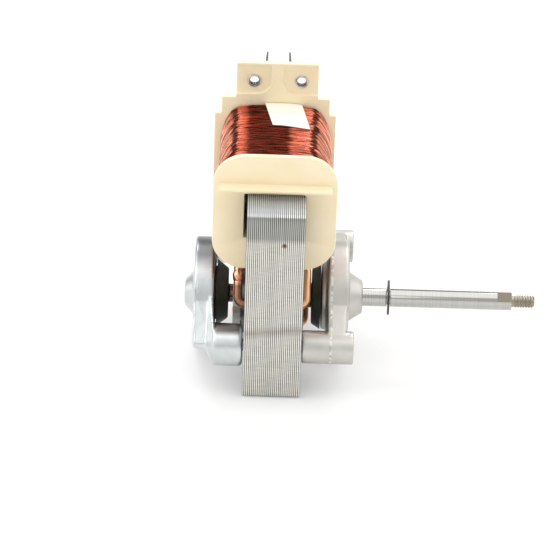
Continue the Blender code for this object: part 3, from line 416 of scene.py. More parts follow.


# Electrical steel, sheared: bare grey metal on the edges with a dark seam between sheets, fine
# streaks across the sheet's thickness, a painted dark zone of shade under the top corner, a painted
# highlight on that corner and one spot of rust. The rolled faces and the upper edges carry a thin blue-grey
# coat.
steel, steel_shader = start_finish("sheared_electrical_steel", "#C9C8C2", 0.40, 1.0)
at = place_on(steel)
place = parts_of(steel, at)
normal = parts_of(steel, add(steel, "ShaderNodeNewGeometry").outputs["Normal"])
in_sheets = reckon(steel, "MULTIPLY", place["X"], 1 / (SHEET * MM))
chance = add(steel, "ShaderNodeTexWhiteNoise", {"W": reckon(steel, "FLOOR", in_sheets)}, noise_dimensions="1D")
sheet_tone = spread(steel, chance.outputs["Value"], low=0.92, high=1.04)
from_middle = reckon(steel, "ABSOLUTE", reckon(steel, "SUBTRACT", reckon(steel, "FRACT", in_sheets), 0.5))
seam = reckon(steel, "MULTIPLY", spread(steel, from_middle, 0.14, 0.42, 1.1, 0.24), sheet_tone)
# The real streaks are about 0.05 mm apart; they are drawn at 0.4 mm to show.
streak = streaks(steel, at, (300.0, 900.0, 2400.0), 4.0)
patch = mottle(steel, at, 90.0, 2.0)
tone = mixed(steel, streak, "#C9C7C0", "#F2F0EA")
# The first zone paints shade under the top corner, the second a highlight on the corner; the third is a coat on
# top.
for value, start, end, code in (
    (place["Z"], 0.0568, 0.0588, "#B1B2AD"),  # painted shade under the top corner
    (normal["Z"], 0.50, 0.60, "#F2F2F0"),  # painted highlight on the corner
    (normal["Z"], 0.64, 0.82, "#C4C8C8"),  # coated on top
):
    painted_light_and_coat_share = spread(steel, value, start, end)
    tone = mixed(steel, painted_light_and_coat_share, tone, code)
# A faint brown band of painted shade, slanting up to the right.
band = reckon(steel, "SUBTRACT", reckon(steel, "MULTIPLY_ADD", place["X"], -0.1, place["Z"]), 0.0247)
band = spread(steel, reckon(steel, "ABSOLUTE", band), 0.0, 0.0024, 0.55, 0.0)
tone = mixed(steel, band, tone, "#A39A8C")
rust = spread(steel, distance_to(steel, at, (0.0028, -0.0307, 0.0564)), 0.0003, 0.0011, 0.95, 0.0)
tone = mixed(steel, rust, tone, "#6A4234")
rolled = mixed(steel, patch, "#8F9496", "#A9ABA8")
on_rolled = spread(steel, reckon(steel, "ABSOLUTE", normal["X"]), 0.85, 0.98)
feed(steel_shader, {
    "Base Color": mixed(steel, on_rolled, scaled(steel, tone, seam), rolled),
    "Metallic": spread(steel, painted_light_and_coat_share, low=1.0, high=0.15),
    "Roughness": spread(steel, patch, low=0.34, high=0.50),
    "Normal": relief(steel, streak, 0.35, 0.00004),
})

stack = piece("lamination_stack", stack_bm, steel, 25)
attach(stack, "stator")
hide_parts("stator_yoke")


# Core bar. The same sheets without the bore, pressed through the bobbin and locked into both legs
# by dovetails. Only its ends can be seen, beside the dovetails.

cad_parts["core_bar"].material_slots[0].material = steel


# Bobbin. One moulding in ivory glass-filled plastic: a square sleeve on the core bar, two flanges,
# a ledge over the front leg and the terminal plate with two shallow pockets.

BOBBIN_X = -0.6
FLANGE_BOTTOM, FLANGE_TOP, FLANGE_ROUND = 40.8, 82.0, 10.5
BACK_STEP, PLATE_FOOT, PLATE_TOP = 77.4, 83.4, 96.0
EYELETS_X = -0.7
EYELET_OUT, EYELET_Z = 7.6, 89.2


def slab(corners, y, depth, segments=8):
    """A flat piece facing the camera, from (x, z, radius) corners."""
    face = rounded_face([((x, y, z), radius) for x, z, radius in corners], segments)
    return thickened(face, (0, depth, 0))


def box_corners(x0, x1, z0, z1, radius=0.0):
    return [(x0, z0, radius), (x1, z0, radius), (x1, z1, radius), (x0, z1, radius)]


def brick(x0, x1, y0, y1, z0, z1):
    return slab(box_corners(x0, x1, z0, z1), y0, y1 - y0)


def faced_back(bm, x, z):
    """Turns a shape made along X to run along Y, and moves it."""
    bmesh.ops.rotate(bm, verts=bm.verts, matrix=Matrix.Rotation(pi / 2, 3, "Z"))
    return shifted(bm, x, 0, z)


front_flange = slab(box_corners(-19.75, 19.75, FLANGE_BOTTOM, FLANGE_TOP, FLANGE_ROUND), -19.0, 1.7, 18)
ledge = bar([(-18.2, 70.8, 0), (-18.2, 71.9, 0), (-22.8, 71.9, 0.45), (-22.8, 70.8, 0.3)], -18, 36, 4)
back_flange = slab([
    (-20.25, FLANGE_BOTTOM, FLANGE_ROUND), (19.05, FLANGE_BOTTOM, FLANGE_ROUND), (19.05, BACK_STEP, 0.6),
    (16.9, BACK_STEP, 0.4), (16.9, PLATE_FOOT, 0.7), (13.0, PLATE_FOOT, 0.4), (13.0, PLATE_TOP, 0.5),
    (-13.5, PLATE_TOP, 0.5), (-13.5, PLATE_FOOT, 0.4), (-18.1, PLATE_FOOT, 0.7), (-18.1, BACK_STEP, 0.4),
    (-20.25, BACK_STEP, 0.6),
], 17.3, 1.8, 12)
block = slab([(-3.66, 85.0, 0), (2.86, 85.0, 0), (2.86, 94.8, 0.6), (-3.66, 94.8, 0.6)], 18.6, 3.2, 4)
sleeve = brick(-10.75, 10.75, -18.5, 18.5, 51.2, 69.3)
cuts = [brick(-9.75, 9.75, -25.0, 25.0, 52.2, 68.3)]
for side in (-1, 1):
    outer, inner = side * 14.5 - 0.25, side * 1.9 - 0.25
    pocket = [(outer, 84.8, 0), (outer, 95.1, 0), (inner, 95.1, 0.9), (inner, 84.8, 4.6)]
    cuts.append(slab(pocket, 16.0, 2.2, 12))
    hole = rod(14.0, 22.0, 2.0, 0, 0)
    cuts.append(faced_back(hole, side * EYELET_OUT + EYELETS_X - BOBBIN_X, EYELET_Z))
bobbin_bm = shaped(
    front_flange,
    ("BOOLEAN", {"operation": "UNION", "solver": "EXACT", "use_self": True,
                 "object": joined(ledge, back_flange, block, sleeve)}),
    ("BOOLEAN", {"operation": "DIFFERENCE", "solver": "EXACT", "use_self": True, "object": joined(*cuts)}),
    ("BEVEL", {"width": 0.28, "segments": 3, "limit_method": "ANGLE", "angle_limit": radians(40),
               "use_clamp_overlap": False, "harden_normals": False, "miter_outer": "MITER_ARC"}),
)
shifted(bobbin_bm, BOBBIN_X)


def clouded(name, colour, roughness, metallic, scale, detail, first, second):
    """A finish that drifts between two tones, with its shader and its pattern."""
    material, shader = start_finish(name, colour, roughness, metallic)
    pattern = mottle(material, place_on(material), scale, detail)
    feed(shader, {"Base Color": mixed(material, pattern, first, second)})
    return material, shader, pattern


# PBT with glass, moulded in a fine-eroded tool: cream with a soft sheen, faint cloudy flow and a
# grain that is really near 0.02 mm and is drawn at 0.25 mm.
ivory, ivory_shader, cloud = clouded("moulded_ivory_pbt", "#EFDDB6", 0.42, 0.0, 70.0, 3.0, "#EBD7AE", "#F5E8CC")
grain = mottle(ivory, place_on(ivory), 4000.0, 2.0)
feed(ivory_shader, {
    "Roughness": spread(ivory, cloud, low=0.36, high=0.52),
    "Normal": relief(ivory, grain, 0.25, 0.00002),
    "Subsurface Weight": 0.12,
    "Subsurface Radius": (0.0016, 0.0011, 0.0006),
})

bobbin = piece("bobbin_moulding", bobbin_bm, ivory, 40)
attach(bobbin, "stator")
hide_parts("bobbin")


# Winding. Thousands of turns of red enamelled wire, wound on the sleeve in rough layers that
# cross each other and stand fullest in the middle. Each strand drawn here is two or three wires
# thick, so that the lay can be seen.

STRAND = 0.22
TIGHT_ROWS, TIGHT_PITCH = 84, 0.40
LOOSE_ROWS, LOOSE_PITCH = 27, 1.24
COIL_END = 16.9
COIL_X = BOBBIN_X - 0.15
COIL_MIDDLE_Z, COIL_SHOULDER_Z = 62.0, 79.0
CORE_END, CORE_SHARE = 16.95, 0.985
coil_corners = [
    (-12.6, 43.2, 3.0), (12.6, 43.2, 3.0), (17.7, 51.3, 6.0), (17.7, 73.4, 16.0),
    (12.8, 80.1, 3.6), (-13.4, 80.1, 3.6), (-17.7, 73.4, 16.0), (-17.7, 51.3, 6.0),
]


def corner_points(corners, segments):
    """The rounded outline of (x, z, radius) corners, as points in order."""
    face = rounded_face([((x, 0.0, z), radius) for x, z, radius in corners], segments)
    face.faces.ensure_lookup_table()
    points = [v.co.copy() for v in face.faces[0].verts]
    face.free()
    return points


def wires(paths, radius, roundness):
    """Closed round wires along paths of points."""
    curve = bpy.data.curves.new("wires", "CURVE")
    curve.dimensions = "3D"
    curve.bevel_depth = radius
    curve.bevel_resolution = roundness
    for path in paths:
        spline = curve.splines.new("POLY")
        spline.points.add(len(path) - 1)
        spline.use_cyclic_u = True
        for point, place in zip(spline.points, path):
            point.co = (*place, 1.0)
    return as_built(show("wires", curve))


def crown(x, y):
    """How far the full middle of the winding stands above its corners."""
    return max(0.0, 1.1 * (1 - (x / 13.4) ** 2)) + 0.3 * (1 - (y / 17) ** 2) - 0.1


ring = corner_points(coil_corners, 6)
route = []
for here, ahead in zip(ring, ring[1:] + ring[:1]):
    stops = max(1, round((ahead - here).length / 1.9))
    route += [here.lerp(ahead, k / stops) for k in range(stops)]
# Each row is its place along the coil, how far it lies above the others and how far it strays.
lay = random.Random(5)
rows = [(-16.7 + k * TIGHT_PITCH, 0.0, 0.30) for k in range(TIGHT_ROWS)]
rows += [(-16.2 + k * LOOSE_PITCH + lay.uniform(-0.3, 0.3), 0.20, 1.3) for k in range(LOOSE_ROWS)]
paths = []
for number, (row_y, lift_by, sway) in enumerate(rows):
    path = []
    for place in route:
        drift = noise.noise(Vector((place.x * 0.11, place.z * 0.11, number * 5.3))) * sway
        swell = noise.noise(Vector((place.x * 0.16, place.z * 0.16, number * 2.1 + 40.0))) * 0.13
        out = Vector((place.x, 0.0, place.z - COIL_MIDDLE_Z)).normalized()
        point = place + out * (swell + lift_by)
        if place.z > COIL_SHOULDER_Z:
            point.z += crown(place.x, row_y)
        path.append((point.x, max(-COIL_END, min(COIL_END, row_y + drift)), point.z))
    paths.append(path)
# The wires lie on a core just under them, which closes the gaps.
core_corners = [
    (x * CORE_SHARE, COIL_MIDDLE_Z + (z - COIL_MIDDLE_Z) * CORE_SHARE, radius) for x, z, radius in coil_corners
]
coil_core = shaped(
    slab(core_corners, -CORE_END, 2 * CORE_END, 6),
    ("BOOLEAN", {"solver": "EXACT", "object": brick(-11.0, 11.0, -20.0, 20.0, 50.9, 69.6)}),
)
coil_bm = joined(wires(paths, STRAND, 1), coil_core)
bmesh.ops.recalc_face_normals(coil_bm, faces=coil_bm.faces)
shifted(coil_bm, COIL_X)

# Copper wire under clear red polyurethane enamel: a glossy metal. Broad stripes stand across it by
# place: the salmon ones are painted highlights and the dark brown ones painted reflections of the dim room, and
# each strand differs a little.
# The stripes' colours by their place across the coil, in mm from its middle.
HALF_COIL = 18.0
PAINTED_WIRE_LIGHT = ((-17.6, "#E29C82"), (-15.3, "#D28064"), (-14.5, "#561A0C"), (-13.3, "#561A0C"),
              (-12.7, "#C8664C"), (-10.6, "#BC5A42"), (-9.0, "#642110"), (3.4, "#642110"),
              (5.0, "#CE6C54"), (10.5, "#D67A60"), (11.2, "#5A1E0E"), (12.5, "#5A1E0E"),
              (13.3, "#D88468"), (17.6, "#E69C84"))
wire, wire_shader = start_finish("enamelled_copper_wire", "#C65A44", 0.28, 1.0)
at = place_on(wire)
strand_tone = streaks(wire, at, (60.0, 2600.0, 60.0), 2.0)
waver = spread(wire, streaks(wire, at, (40.0, 900.0, 40.0), 3.0), low=-0.0024, high=0.0024)
# Painted highlights and painted reflections, placed across the coil.
painted_light_place = spread(wire, reckon(wire, "ADD", parts_of(wire, at)["X"], waver), -0.0183, 0.0177)
stops = [((x + HALF_COIL) / (2 * HALF_COIL), linear(code)) for x, code in PAINTED_WIRE_LIGHT]
painted_light_stripes = ramp(wire, painted_light_place, stops)
feed(wire_shader, {
    "Base Color": scaled(wire, painted_light_stripes, spread(wire, strand_tone, 0.3, 0.7, 0.35, 1.55)),
    "Roughness": spread(wire, strand_tone, low=0.20, high=0.32),
    "Coat Weight": 0.08,
    "Coat Roughness": 0.12,
})

coil = piece("wire_winding", coil_bm, wire, 60)
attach(coil, "stator")
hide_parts("coil_winding")


# Paper slip. A cut strip of white insulation paper, stuck askew on the winding against the rear
# flange, with slightly lifted edges.

SLIP_Z, SLIP = 80.62, 0.16
slip_bm = bmesh.new()
slip_corners = ((-4.6, 17.0, 0), (7.3, 17.0, 0), (9.9, 0.8, 0), (-2.0, 2.0, 0))
slip_bm.faces.new([slip_bm.verts.new(point) for point in slip_corners])
bmesh.ops.subdivide_edges(slip_bm, edges=slip_bm.edges[:], cuts=14, use_grid_fill=True)
for v in slip_bm.verts:
    wave = noise.noise(Vector((v.co.x * 0.18, v.co.y * 0.12, 3.0)))
    v.co.z = SLIP_Z + crown(v.co.x, v.co.y) + 0.14 * wave
thickened(slip_bm, (0, 0, SLIP))

# Rag paper, calendered: matt white with a soft fibre clouding.
paper, paper_shader, fibre = clouded(
    "calendered_white_paper", "#FAF9F1", 0.85, 0.0, 900.0, 5.0, "#ECEADB", "#F8F6EA"
)
feed(paper_shader, {"Normal": relief(paper, fibre, 0.2, 0.00003)})

slip = piece("paper_slip", slip_bm, paper, 50)
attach(slip, "stator")
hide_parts("winding_paper")


# Terminals and eyelets. Tinned brass strip, punched and folded into blades, and held to the plate
# by tubular rivets that are rolled over at both ends.

LUG_BORE = 1.72
BLADE_LEAN = radians(3.1)
BLADE_FOOT_Y = 19.14

# Tinned brass: a soft white shine with wiping marks, and painted shade down the rivets' bores.
tinned, tinned_shader = start_finish("tinned_brass", "#C9C7C1", 0.26, 1.0)
at = place_on(tinned)
place = parts_of(tinned, at)
wipe = mottle(tinned, at, 700.0, 4.0)
from_middle = reckon(tinned, "ABSOLUTE", reckon(tinned, "SUBTRACT", place["X"], EYELETS_X * MM))
from_rivet = reckon(tinned, "SUBTRACT", from_middle, EYELET_OUT * MM)
beside_rivet = add(tinned, "ShaderNodeCombineXYZ", {0: from_rivet, 2: place["Z"]}).outputs[0]
# Painted shade inside the rivets' bores.
bore = distance_to(tinned, beside_rivet, (0.0, 0.0, EYELET_Z * MM))
bore = spread(tinned, bore, 0.00146, 0.0017, 0.9, 0.0)
feed(tinned_shader, {
    "Base Color": mixed(tinned, bore, mixed(tinned, wipe, "#AFAEAA", "#DCDAD4"), "#34322E"),
    "Roughness": spread(tinned, wipe, low=0.18, high=0.38),
})
# The blades are the same strip, stained dark where it was sheared.
stained = clouded("sheared_brass_strip", "#5E5E5A", 0.4, 1.0, 700.0, 4.0, "#3E3E3C", "#6E6E6A")[0]

for name, side in (("left", -1), ("right", 1)):
    foot = EYELETS_X + side * 4.0
    blade = bar(
        [(BLADE_FOOT_Y, 88.5, 0), (27.2, 88.5, 0.9), (27.4, 95.3, 0.9), (BLADE_FOOT_Y, 95.3, 0.3)],
        foot - 0.3, 0.55, 6,
    )
    for v in blade.verts:
        v.co.x -= side * (v.co.y - BLADE_FOOT_Y) * tan(BLADE_LEAN)
    lug_ends = sorted((foot - side * 0.3, side * 10.6 + EYELETS_X))
    lug = slab(box_corners(*lug_ends, 86.2, 92.2, 0.8), 19.12, 0.56, 6)
    hole = faced_back(rod(14.0, 22.0, LUG_BORE, 0, 0), side * EYELET_OUT + EYELETS_X, EYELET_Z)
    strip = joined(blade, shaped(lug, ("BOOLEAN", {"solver": "EXACT", "object": hole})))
    bmesh.ops.bevel(
        strip, geom=[e for e in strip.edges if e.calc_face_angle(0) > 1.0], offset=0.08, offset_type="OFFSET",
        affect="EDGES", segments=2, profile=0.5, material=-1, clamp_overlap=True,
    )
    tab = piece("push_on_blade_" + name, strip, stained, 40)
    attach(tab, "stator")
    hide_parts("terminal_" + name)

for name, side in (("left", -1), ("right", 1)):
    rivet = turned(
        [(18.2, 1.45, 0.25), (17.75, 1.65, 0.15), (17.85, 2.2, 0.15), (18.2, 2.25, 0.05), (18.2, 1.7, 0),
         (19.7, 1.7, 0), (19.7, 2.25, 0.05), (20.05, 2.2, 0.15), (20.15, 1.65, 0.15), (19.7, 1.45, 0.25)],
        48, 0.0, 0.0,
    )
    rivet = faced_back(rivet, side * EYELET_OUT + EYELETS_X, EYELET_Z)
    eyelet = piece("rolled_eyelet_" + name, rivet, tinned, 50)
    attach(eyelet, "stator")
    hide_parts("eyelet_" + name)


# Shading rings. Two closed loops of bare 2.7 mm copper wire, threaded through the slots of the pole
# tips, bent over at the ends and brazed: the joint is a lump on the left run, salmon from the heat.

RING_WIRE = 1.35
RING_LEFT, RING_RIGHT = -11.6, 10.65
RING_BEND = 2.0
LUMP_SHARE = 0.70
RING_ENDS = [[Vector((0, *slot_place(side, angle))) for angle in SLOT_ANGLES] for side in (-1, 1)]

# Drawn copper: bright and pink at the right, scorched dull brown by the brazing at the left.
copper, copper_shader = start_finish("drawn_bare_copper", "#E39566", 0.34, 1.0)
at = place_on(copper)
heat = mottle(copper, at, 190.0, 4.0)
scorched = mixed(copper, heat, "#7A5440", "#C08866")
clean = mixed(copper, heat, "#F4AC78", "#FFD6AE")
hue = mixed(copper, spread(copper, parts_of(copper, at)["X"], 0.004, 0.010), scorched, clean)
for low_end, high_end in RING_ENDS:
    lump_at = low_end.lerp(high_end, LUMP_SHARE) * MM
    near = distance_to(copper, at, (RING_LEFT * MM, lump_at.y, lump_at.z))
    hue = mixed(copper, spread(copper, near, 0.0026, 0.0038, 1.0, 0.0), hue, "#FFB690")
feed(copper_shader, {
    "Base Color": hue,
    "Roughness": spread(copper, heat, low=0.30, high=0.48),
    "Normal": relief(copper, heat, 0.3, 0.0001),
})

for name, (low_end, high_end) in zip(("front", "rear"), RING_ENDS):
    span = (high_end - low_end).length
    path = []
    for place in corner_points(box_corners(RING_LEFT, RING_RIGHT, 0, span, RING_BEND), 8):
        where = low_end.lerp(high_end, place.z / span)
        path.append((place.x, where.y, where.z))
    lump = bmesh.new()
    bmesh.ops.create_icosphere(lump, subdivisions=4, radius=1.0)
    for v in lump.verts:
        v.co *= 1 + 0.07 * noise.noise(v.co * 1.9)
    bmesh.ops.scale(lump, verts=lump.verts, vec=(1.8, 2.3, 2.5))
    lump_at = low_end.lerp(high_end, LUMP_SHARE)
    ring_bm = joined(wires([path], RING_WIRE, 6), shifted(lump, RING_LEFT, lump_at.y, lump_at.z))
    ring_piece = piece("copper_ring_" + name, ring_bm, copper, 60)
    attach(ring_piece, "stator")
    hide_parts("shading_ring_" + name)


# Bearing brackets. Die castings with a round plate, a closed or bored hub and two webs to the
# bosses that clamp the stack. The webs run into the plate with cast fillets, and the driven one
# shows the tool's parting line with its flash.

VOXEL = 0.36
PARTING_X = 18.8
WEB_MIDDLE = 7.0


def cast(bm, cutters):
    """Melts overlapping shells into one casting with soft fillets, then machines it."""
    casting = shaped(
        bm,
        ("REMESH", {"mode": "VOXEL", "voxel_size": VOXEL}),
        ("SMOOTH", {"factor": 0.5, "iterations": 5}),
    )
    for cutter in cutters:
        casting = shaped(casting, ("BOOLEAN", {"solver": "MANIFOLD", "object": cutter}))
    return casting


def web(side, near, far, root):
    """A tapering web from the plate to a boss, as the hull of its ends.

    Its root has (reach, across) corners at each x of near, its far end a disc for each (x, radius).
    """
    y, z = screw_place(side)
    outward = Vector((y, z - AXIS_Z)).normalized()
    bm = bmesh.new()
    for x in near:
        for reach, across in root:
            corner_y = outward.x * reach - outward.y * across
            bm.verts.new((x, corner_y, AXIS_Z + outward.y * reach + outward.x * across))
    for x, radius in far:
        disc = bmesh.ops.create_circle(bm, segments=40, radius=radius)
        stand = Matrix.Translation((x, y, z)) @ Matrix.Rotation(pi / 2, 4, "Y")
        bmesh.ops.transform(bm, verts=disc["verts"], matrix=stand)
    hull = bmesh.ops.convex_hull(bm, input=bm.verts)
    spare = [g for g in hull["geom_interior"] + hull["geom_unused"] if isinstance(g, bmesh.types.BMVert)]
    bmesh.ops.delete(bm, geom=list(set(spare)), context="VERTS")
    bmesh.ops.recalc_face_normals(bm, faces=bm.faces)
    return bm


def round_root(radius, count):
    """A web's root inside the plate, as a circle of (reach, across) corners."""
    steps = [2 * pi * k / count for k in range(count)]
    return [(WEB_MIDDLE + radius * cos(step), radius * sin(step)) for step in steps]


# Aluminium alloy, pressure die cast: light grey with cloudy flow marks. The rear casting's brighter,
# cooler tones are painted light and the driven one's duller, warmer tones painted shade; the driven one is
# tumbled, and so rougher.
# Each has its darker and lighter tone, its tone on top, which is painted shade, and its range of roughness.
castings = {}
for end, low_tone, high_tone, painted_top_shade, low_rough, high_rough in (
    ("rear", "#B0B5B6", "#E6E9E9", "#7C8082", 0.26, 0.38),
    ("drive", "#B2B0AA", "#DAD8D1", "#BEBCB6", 0.38, 0.54),
):
    metal, metal_shader = start_finish(end + "_die_cast_aluminium", low_tone, low_rough, 1.0)
    at = place_on(metal)
    swirl = {"Vector": at, "Scale": 130.0, "Detail": 6.0, "Distortion": 0.8}
    flow = add(metal, "ShaderNodeTexNoise", swirl).outputs["Fac"]
    skin = mottle(metal, at, 1500.0, 3.0)
    upward = parts_of(metal, add(metal, "ShaderNodeNewGeometry").outputs["Normal"])["Z"]
    grey = mixed(metal, flow, low_tone, high_tone)
    # Painted shade on the faces that look up.
    grey = mixed(metal, spread(metal, upward, 0.80, 0.95), grey, painted_top_shade)
    if end == "drive":
        from_line = reckon(metal, "SUBTRACT", parts_of(metal, at)["X"], PARTING_X * MM)
        from_line = reckon(metal, "ABSOLUTE", from_line)
        # The beads' bright and dark dots are painted highlights and painted shade on the flash.
        beads = spread(metal, mottle(metal, at, 750.0, 1.0), 0.42, 0.58)
        beads = mixed(metal, beads, "#8C8982", "#FAF8F2")
        grey = mixed(metal, spread(metal, from_line, 0.0002, 0.0006, 0.4, 0.0), grey, beads)
    feed(metal_shader, {
        "Base Color": grey,
        "Roughness": spread(metal, flow, low=low_rough, high=high_rough),
        "Normal": relief(metal, reckon(metal, "ADD", flow, skin), 0.2, 0.00012),
    })
    castings[end] = metal

drive_shells = [
    turned([(17.5, 0, 0), (17.5, 18.3, 0.5), (24.4, 18.3, 0.9), (24.4, 8.2, 0.8), (29.1, 5.3, 0.3),
            (29.1, 0, 0)], 96),
    turned([(15.7, 0, 0), (15.7, 11.0, 0.3), (19.0, 11.0, 0), (19.0, 0, 0)]),
]
drive_cuts = [
    turned([(14.0, 0, 0), (14.0, 9.1, 0), (21.8, 9.1, 0), (21.8, 5.8, 0), (24.6, 4.2, 0), (25.2, 3.5, 0),
            (30.5, 3.5, 0), (30.5, 0, 0)], 64),
]
fins = []
for side in (-1, 1):
    drive_shells.append(web(side, (17.6, 24.0), ((17.8, 5.05), (23.2, 5.05)), round_root(12.2, 32)))
    drive_shells.append(
        turned([(9.6, 0, 0), (9.6, 5.35, 0.2), (26.2, 5.35, 0.4), (26.2, 0, 0)], 48, *screw_place(side))
    )
    drive_cuts.append(rod(21.0, 28.0, 1.6, *screw_place(side)))
    drive_cuts.append(rod(8.0, 19.3, SCREW_BORE, *screw_place(side)))
    # The flash on the parting line: a thin ragged fin, broken into beads.
    fin_ends = (PARTING_X - 0.15, PARTING_X + 0.2)
    fin = web(side, fin_ends, [(x, 5.4) for x in fin_ends], round_root(12.55, 96))
    for v in fin.verts:
        ragged = 1 + 0.022 * noise.noise(Vector((v.co.y, v.co.z, 0)) * 1.4)
        v.co.y, v.co.z = v.co.y * ragged, AXIS_Z + (v.co.z - AXIS_Z) * ragged
    fins.append(fin)
drive = piece("drive_casting", joined(cast(joined(*drive_shells), drive_cuts), *fins), castings["drive"], 30)
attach(drive, "stator")
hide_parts("drive_bracket")

rear_shells = [
    turned([(-19.3, 0, 0), (-19.3, 18.3, 0.5), (-25.9, 18.3, 1.0), (-25.9, 7.3, 0.8), (-28.9, 4.4, 0.6),
            (-29.2, 0, 0)], 96),
    turned([(-18.8, 0, 0), (-18.8, 11.0, 0.2), (-20.0, 11.0, 0), (-20.0, 0, 0)]),
]
rear_cuts = [
    turned([(-17.5, 0, 0), (-17.5, 9.1, 0), (-22.4, 9.1, 0), (-22.4, 5.8, 0), (-25.0, 4.2, 0), (-26.4, 4.0, 0),
            (-26.4, 0, 0)], 64),
]
strip_root = [(12.5, 11.8), (12.5, -11.8), (15.5, 9.2), (15.5, -9.2)]
# At its boss each web is a blunt cone, thin at the outer face and wide against the boss.
for side, (outer_end, waist, inner_end) in ((-1, (1.3, 2.2, 6.6)), (1, (0.9, 1.6, 4.0))):
    rear_shells.append(web(side, (-25.7, -19.5), ((-25.5, outer_end), (-20.5, waist)), strip_root))
    rear_shells.append(web(side, (-21.0, -19.5), ((-21.4, waist), (-18.9, inner_end)), strip_root))
    rear_shells.append(
        turned([(-18.7, 0, 0), (-18.7, 6.9, 0.3), (-9.6, 6.9, 1.2), (-9.6, 0, 0)], 48, *screw_place(side))
    )
    rear_cuts.append(rod(-17.0, -8.0, SCREW_BORE, *screw_place(side)))
rear = piece("rear_casting", cast(joined(*rear_shells), rear_cuts), castings["rear"], 30)
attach(rear, "stator")
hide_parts("rear_bracket")


# Retainers. Pressed caps of blackened spring steel that grip the housing and hold felt and bearing
# in their seat.

# Blackened steel: near black with a greenish cast, wet in places from the felts' oil.
black, black_shader, oil = clouded(
    "blackened_spring_steel", "#2A2B26", 0.36, 0.0, 260.0, 4.0, "#282A22", "#4E5044"
)
feed(black_shader, {"Roughness": spread(black, oil, low=0.28, high=0.5)})

for name, corners in (
    ("drive", [(12.5, 4.8, 0.1), (12.5, 9.2, 0.8), (15.4, 11.0, 0.1), (15.4, 10.2, 0.1), (13.5, 8.6, 0.5),
               (13.3, 4.8, 0.1)]),
    ("rear", [(-14.65, 4.8, 0.1), (-14.65, 8.1, 0.9), (-18.5, 11.0, 0.1), (-18.5, 10.2, 0.1),
              (-15.7, 7.5, 0.5), (-15.45, 4.8, 0.1)]),
):
    cap = piece(name + "_cap", turned(corners, 72), black, 40)
    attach(cap, "stator")
    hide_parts(name + "_retainer")


# Bearings, felts and through screws, all inside the castings: oil-filled sintered bushes, wool felt
# rings round them, and zinc-plated screws from the rear bracket into the driven one.

# Sintered bronze: dull gold, speckled with open pores.
bronze, bronze_shader = start_finish("sintered_bronze", "#9A7446", 0.5, 1.0)
pores = add(bronze, "ShaderNodeTexVoronoi", {"Vector": place_on(bronze), "Scale": 3500.0})
feed(bronze_shader, {"Base Color": mixed(bronze, pores.outputs["Distance"], "#6E4F2C", "#B58C58")})
# Wool felt soaked in oil: matt and hairy, in two browns.
felt = clouded("oiled_wool_felt", "#8E8268", 0.95, 0.0, 1800.0, 6.0, "#6B6048", "#A99C80")[0]
# Zinc plate: a bright cold grey that clouds towards blue.
zinc = clouded("zinc_plated_steel", "#C4C7C9", 0.3, 1.0, 600.0, 3.0, "#A9B0B4", "#DADBD8")[0]
for name, finish in (
    ("drive_bearing", bronze), ("rear_bearing", bronze), ("drive_felt", felt), ("rear_felt", felt),
    ("through_screw_front", zinc), ("through_screw_rear", zinc),
):
    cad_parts[name].material_slots[0].material = finish


# Rotor inside the bore: a skewed stack of the same steel with an aluminium cage cast through it,
# fibre washers at both ends and a black moulded bush that sets the play.

# Turned steel: darker than the stack, with the lathe's fine rings.
turned_steel, turned_shader = start_finish("turned_rotor_steel", "#8C8D8A", 0.35, 1.0)
cutmark = streaks(turned_steel, place_on(turned_steel), (1600.0, 60.0, 60.0), 2.0)
feed(turned_shader, {"Base Color": mixed(turned_steel, cutmark, "#6E6F6D", "#A6A7A3")})
# Vulcanised fibre: dark oily brown, flecked.
fibre_board = clouded("vulcanised_fibre", "#7A5536", 0.6, 0.0, 1200.0, 4.0, "#2E2019", "#4A3528")[0]
# Moulded nylon: black with a faint haze.
nylon = clouded("black_moulded_nylon", "#191814", 0.4, 0.0, 500.0, 3.0, "#100F0C", "#262420")[0]
for name, finish in (
    ("rotor_core", turned_steel), ("rotor_cage", castings["drive"]), ("spacer_bush", nylon),
    ("thrust_washer_drive", fibre_board), ("thrust_washer_rear", fibre_board),
):
    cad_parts[name].material_slots[0].material = finish


# Shaft. 6 mm bright steel, centreless ground, with a groove for the clip, a milled flat for the fan
# hub, an undercut and a rolled thread with a chamfered end.

SHAFT = 3.0
GROOVE_START, GROOVE_END, GROOVE = 37.0, 38.2, 2.4
FLAT_START, FLAT_DEPTH, FLAT_TURN = 73.2, 2.4, radians(62)
SHOULDER, THREAD_START, THREAD_END = 77.9, 79.0, 85.4
THREAD_PITCH, THREAD, STEPS_A_TURN = 0.87, 2.12, 40

shank = turned([
    (-25.8, 0, 0), (-25.8, SHAFT, 0.5), (GROOVE_START, SHAFT, 0.05), (GROOVE_START, GROOVE, 0),
    (GROOVE_END, GROOVE, 0), (GROOVE_END, SHAFT, 0.05), (FLAT_START, SHAFT, 0), (FLAT_START, 0, 0),
], 96)
tip = turned([
    (FLAT_START, 0, 0), (FLAT_START, SHAFT, 0), (SHOULDER, SHAFT, 0.2), (SHOULDER, 2.15, 0.0), (SHOULDER, 0, 0),
], 96, 0, 0)
flat_way = Vector((0.0, -cos(FLAT_TURN), sin(FLAT_TURN)))
bmesh.ops.bisect_plane(
    tip, geom=tip.verts[:] + tip.edges[:] + tip.faces[:], plane_co=flat_way * FLAT_DEPTH, plane_no=flat_way,
    clear_outer=True,
)
bmesh.ops.holes_fill(tip, edges=[e for e in tip.edges if e.is_boundary], sides=0)
bmesh.ops.recalc_face_normals(tip, faces=tip.faces)
shifted(tip, 0, 0, AXIS_Z)
neck = turned([(77.5, 0, 0), (77.5, 1.8, 0), (84.9, 1.72, 0), (THREAD_END, 1.4, 0), (THREAD_END, 0, 0)], 48)
ridge_outline = ((-0.38, 1.5), (-0.12, THREAD), (0.12, THREAD), (0.38, 1.5))
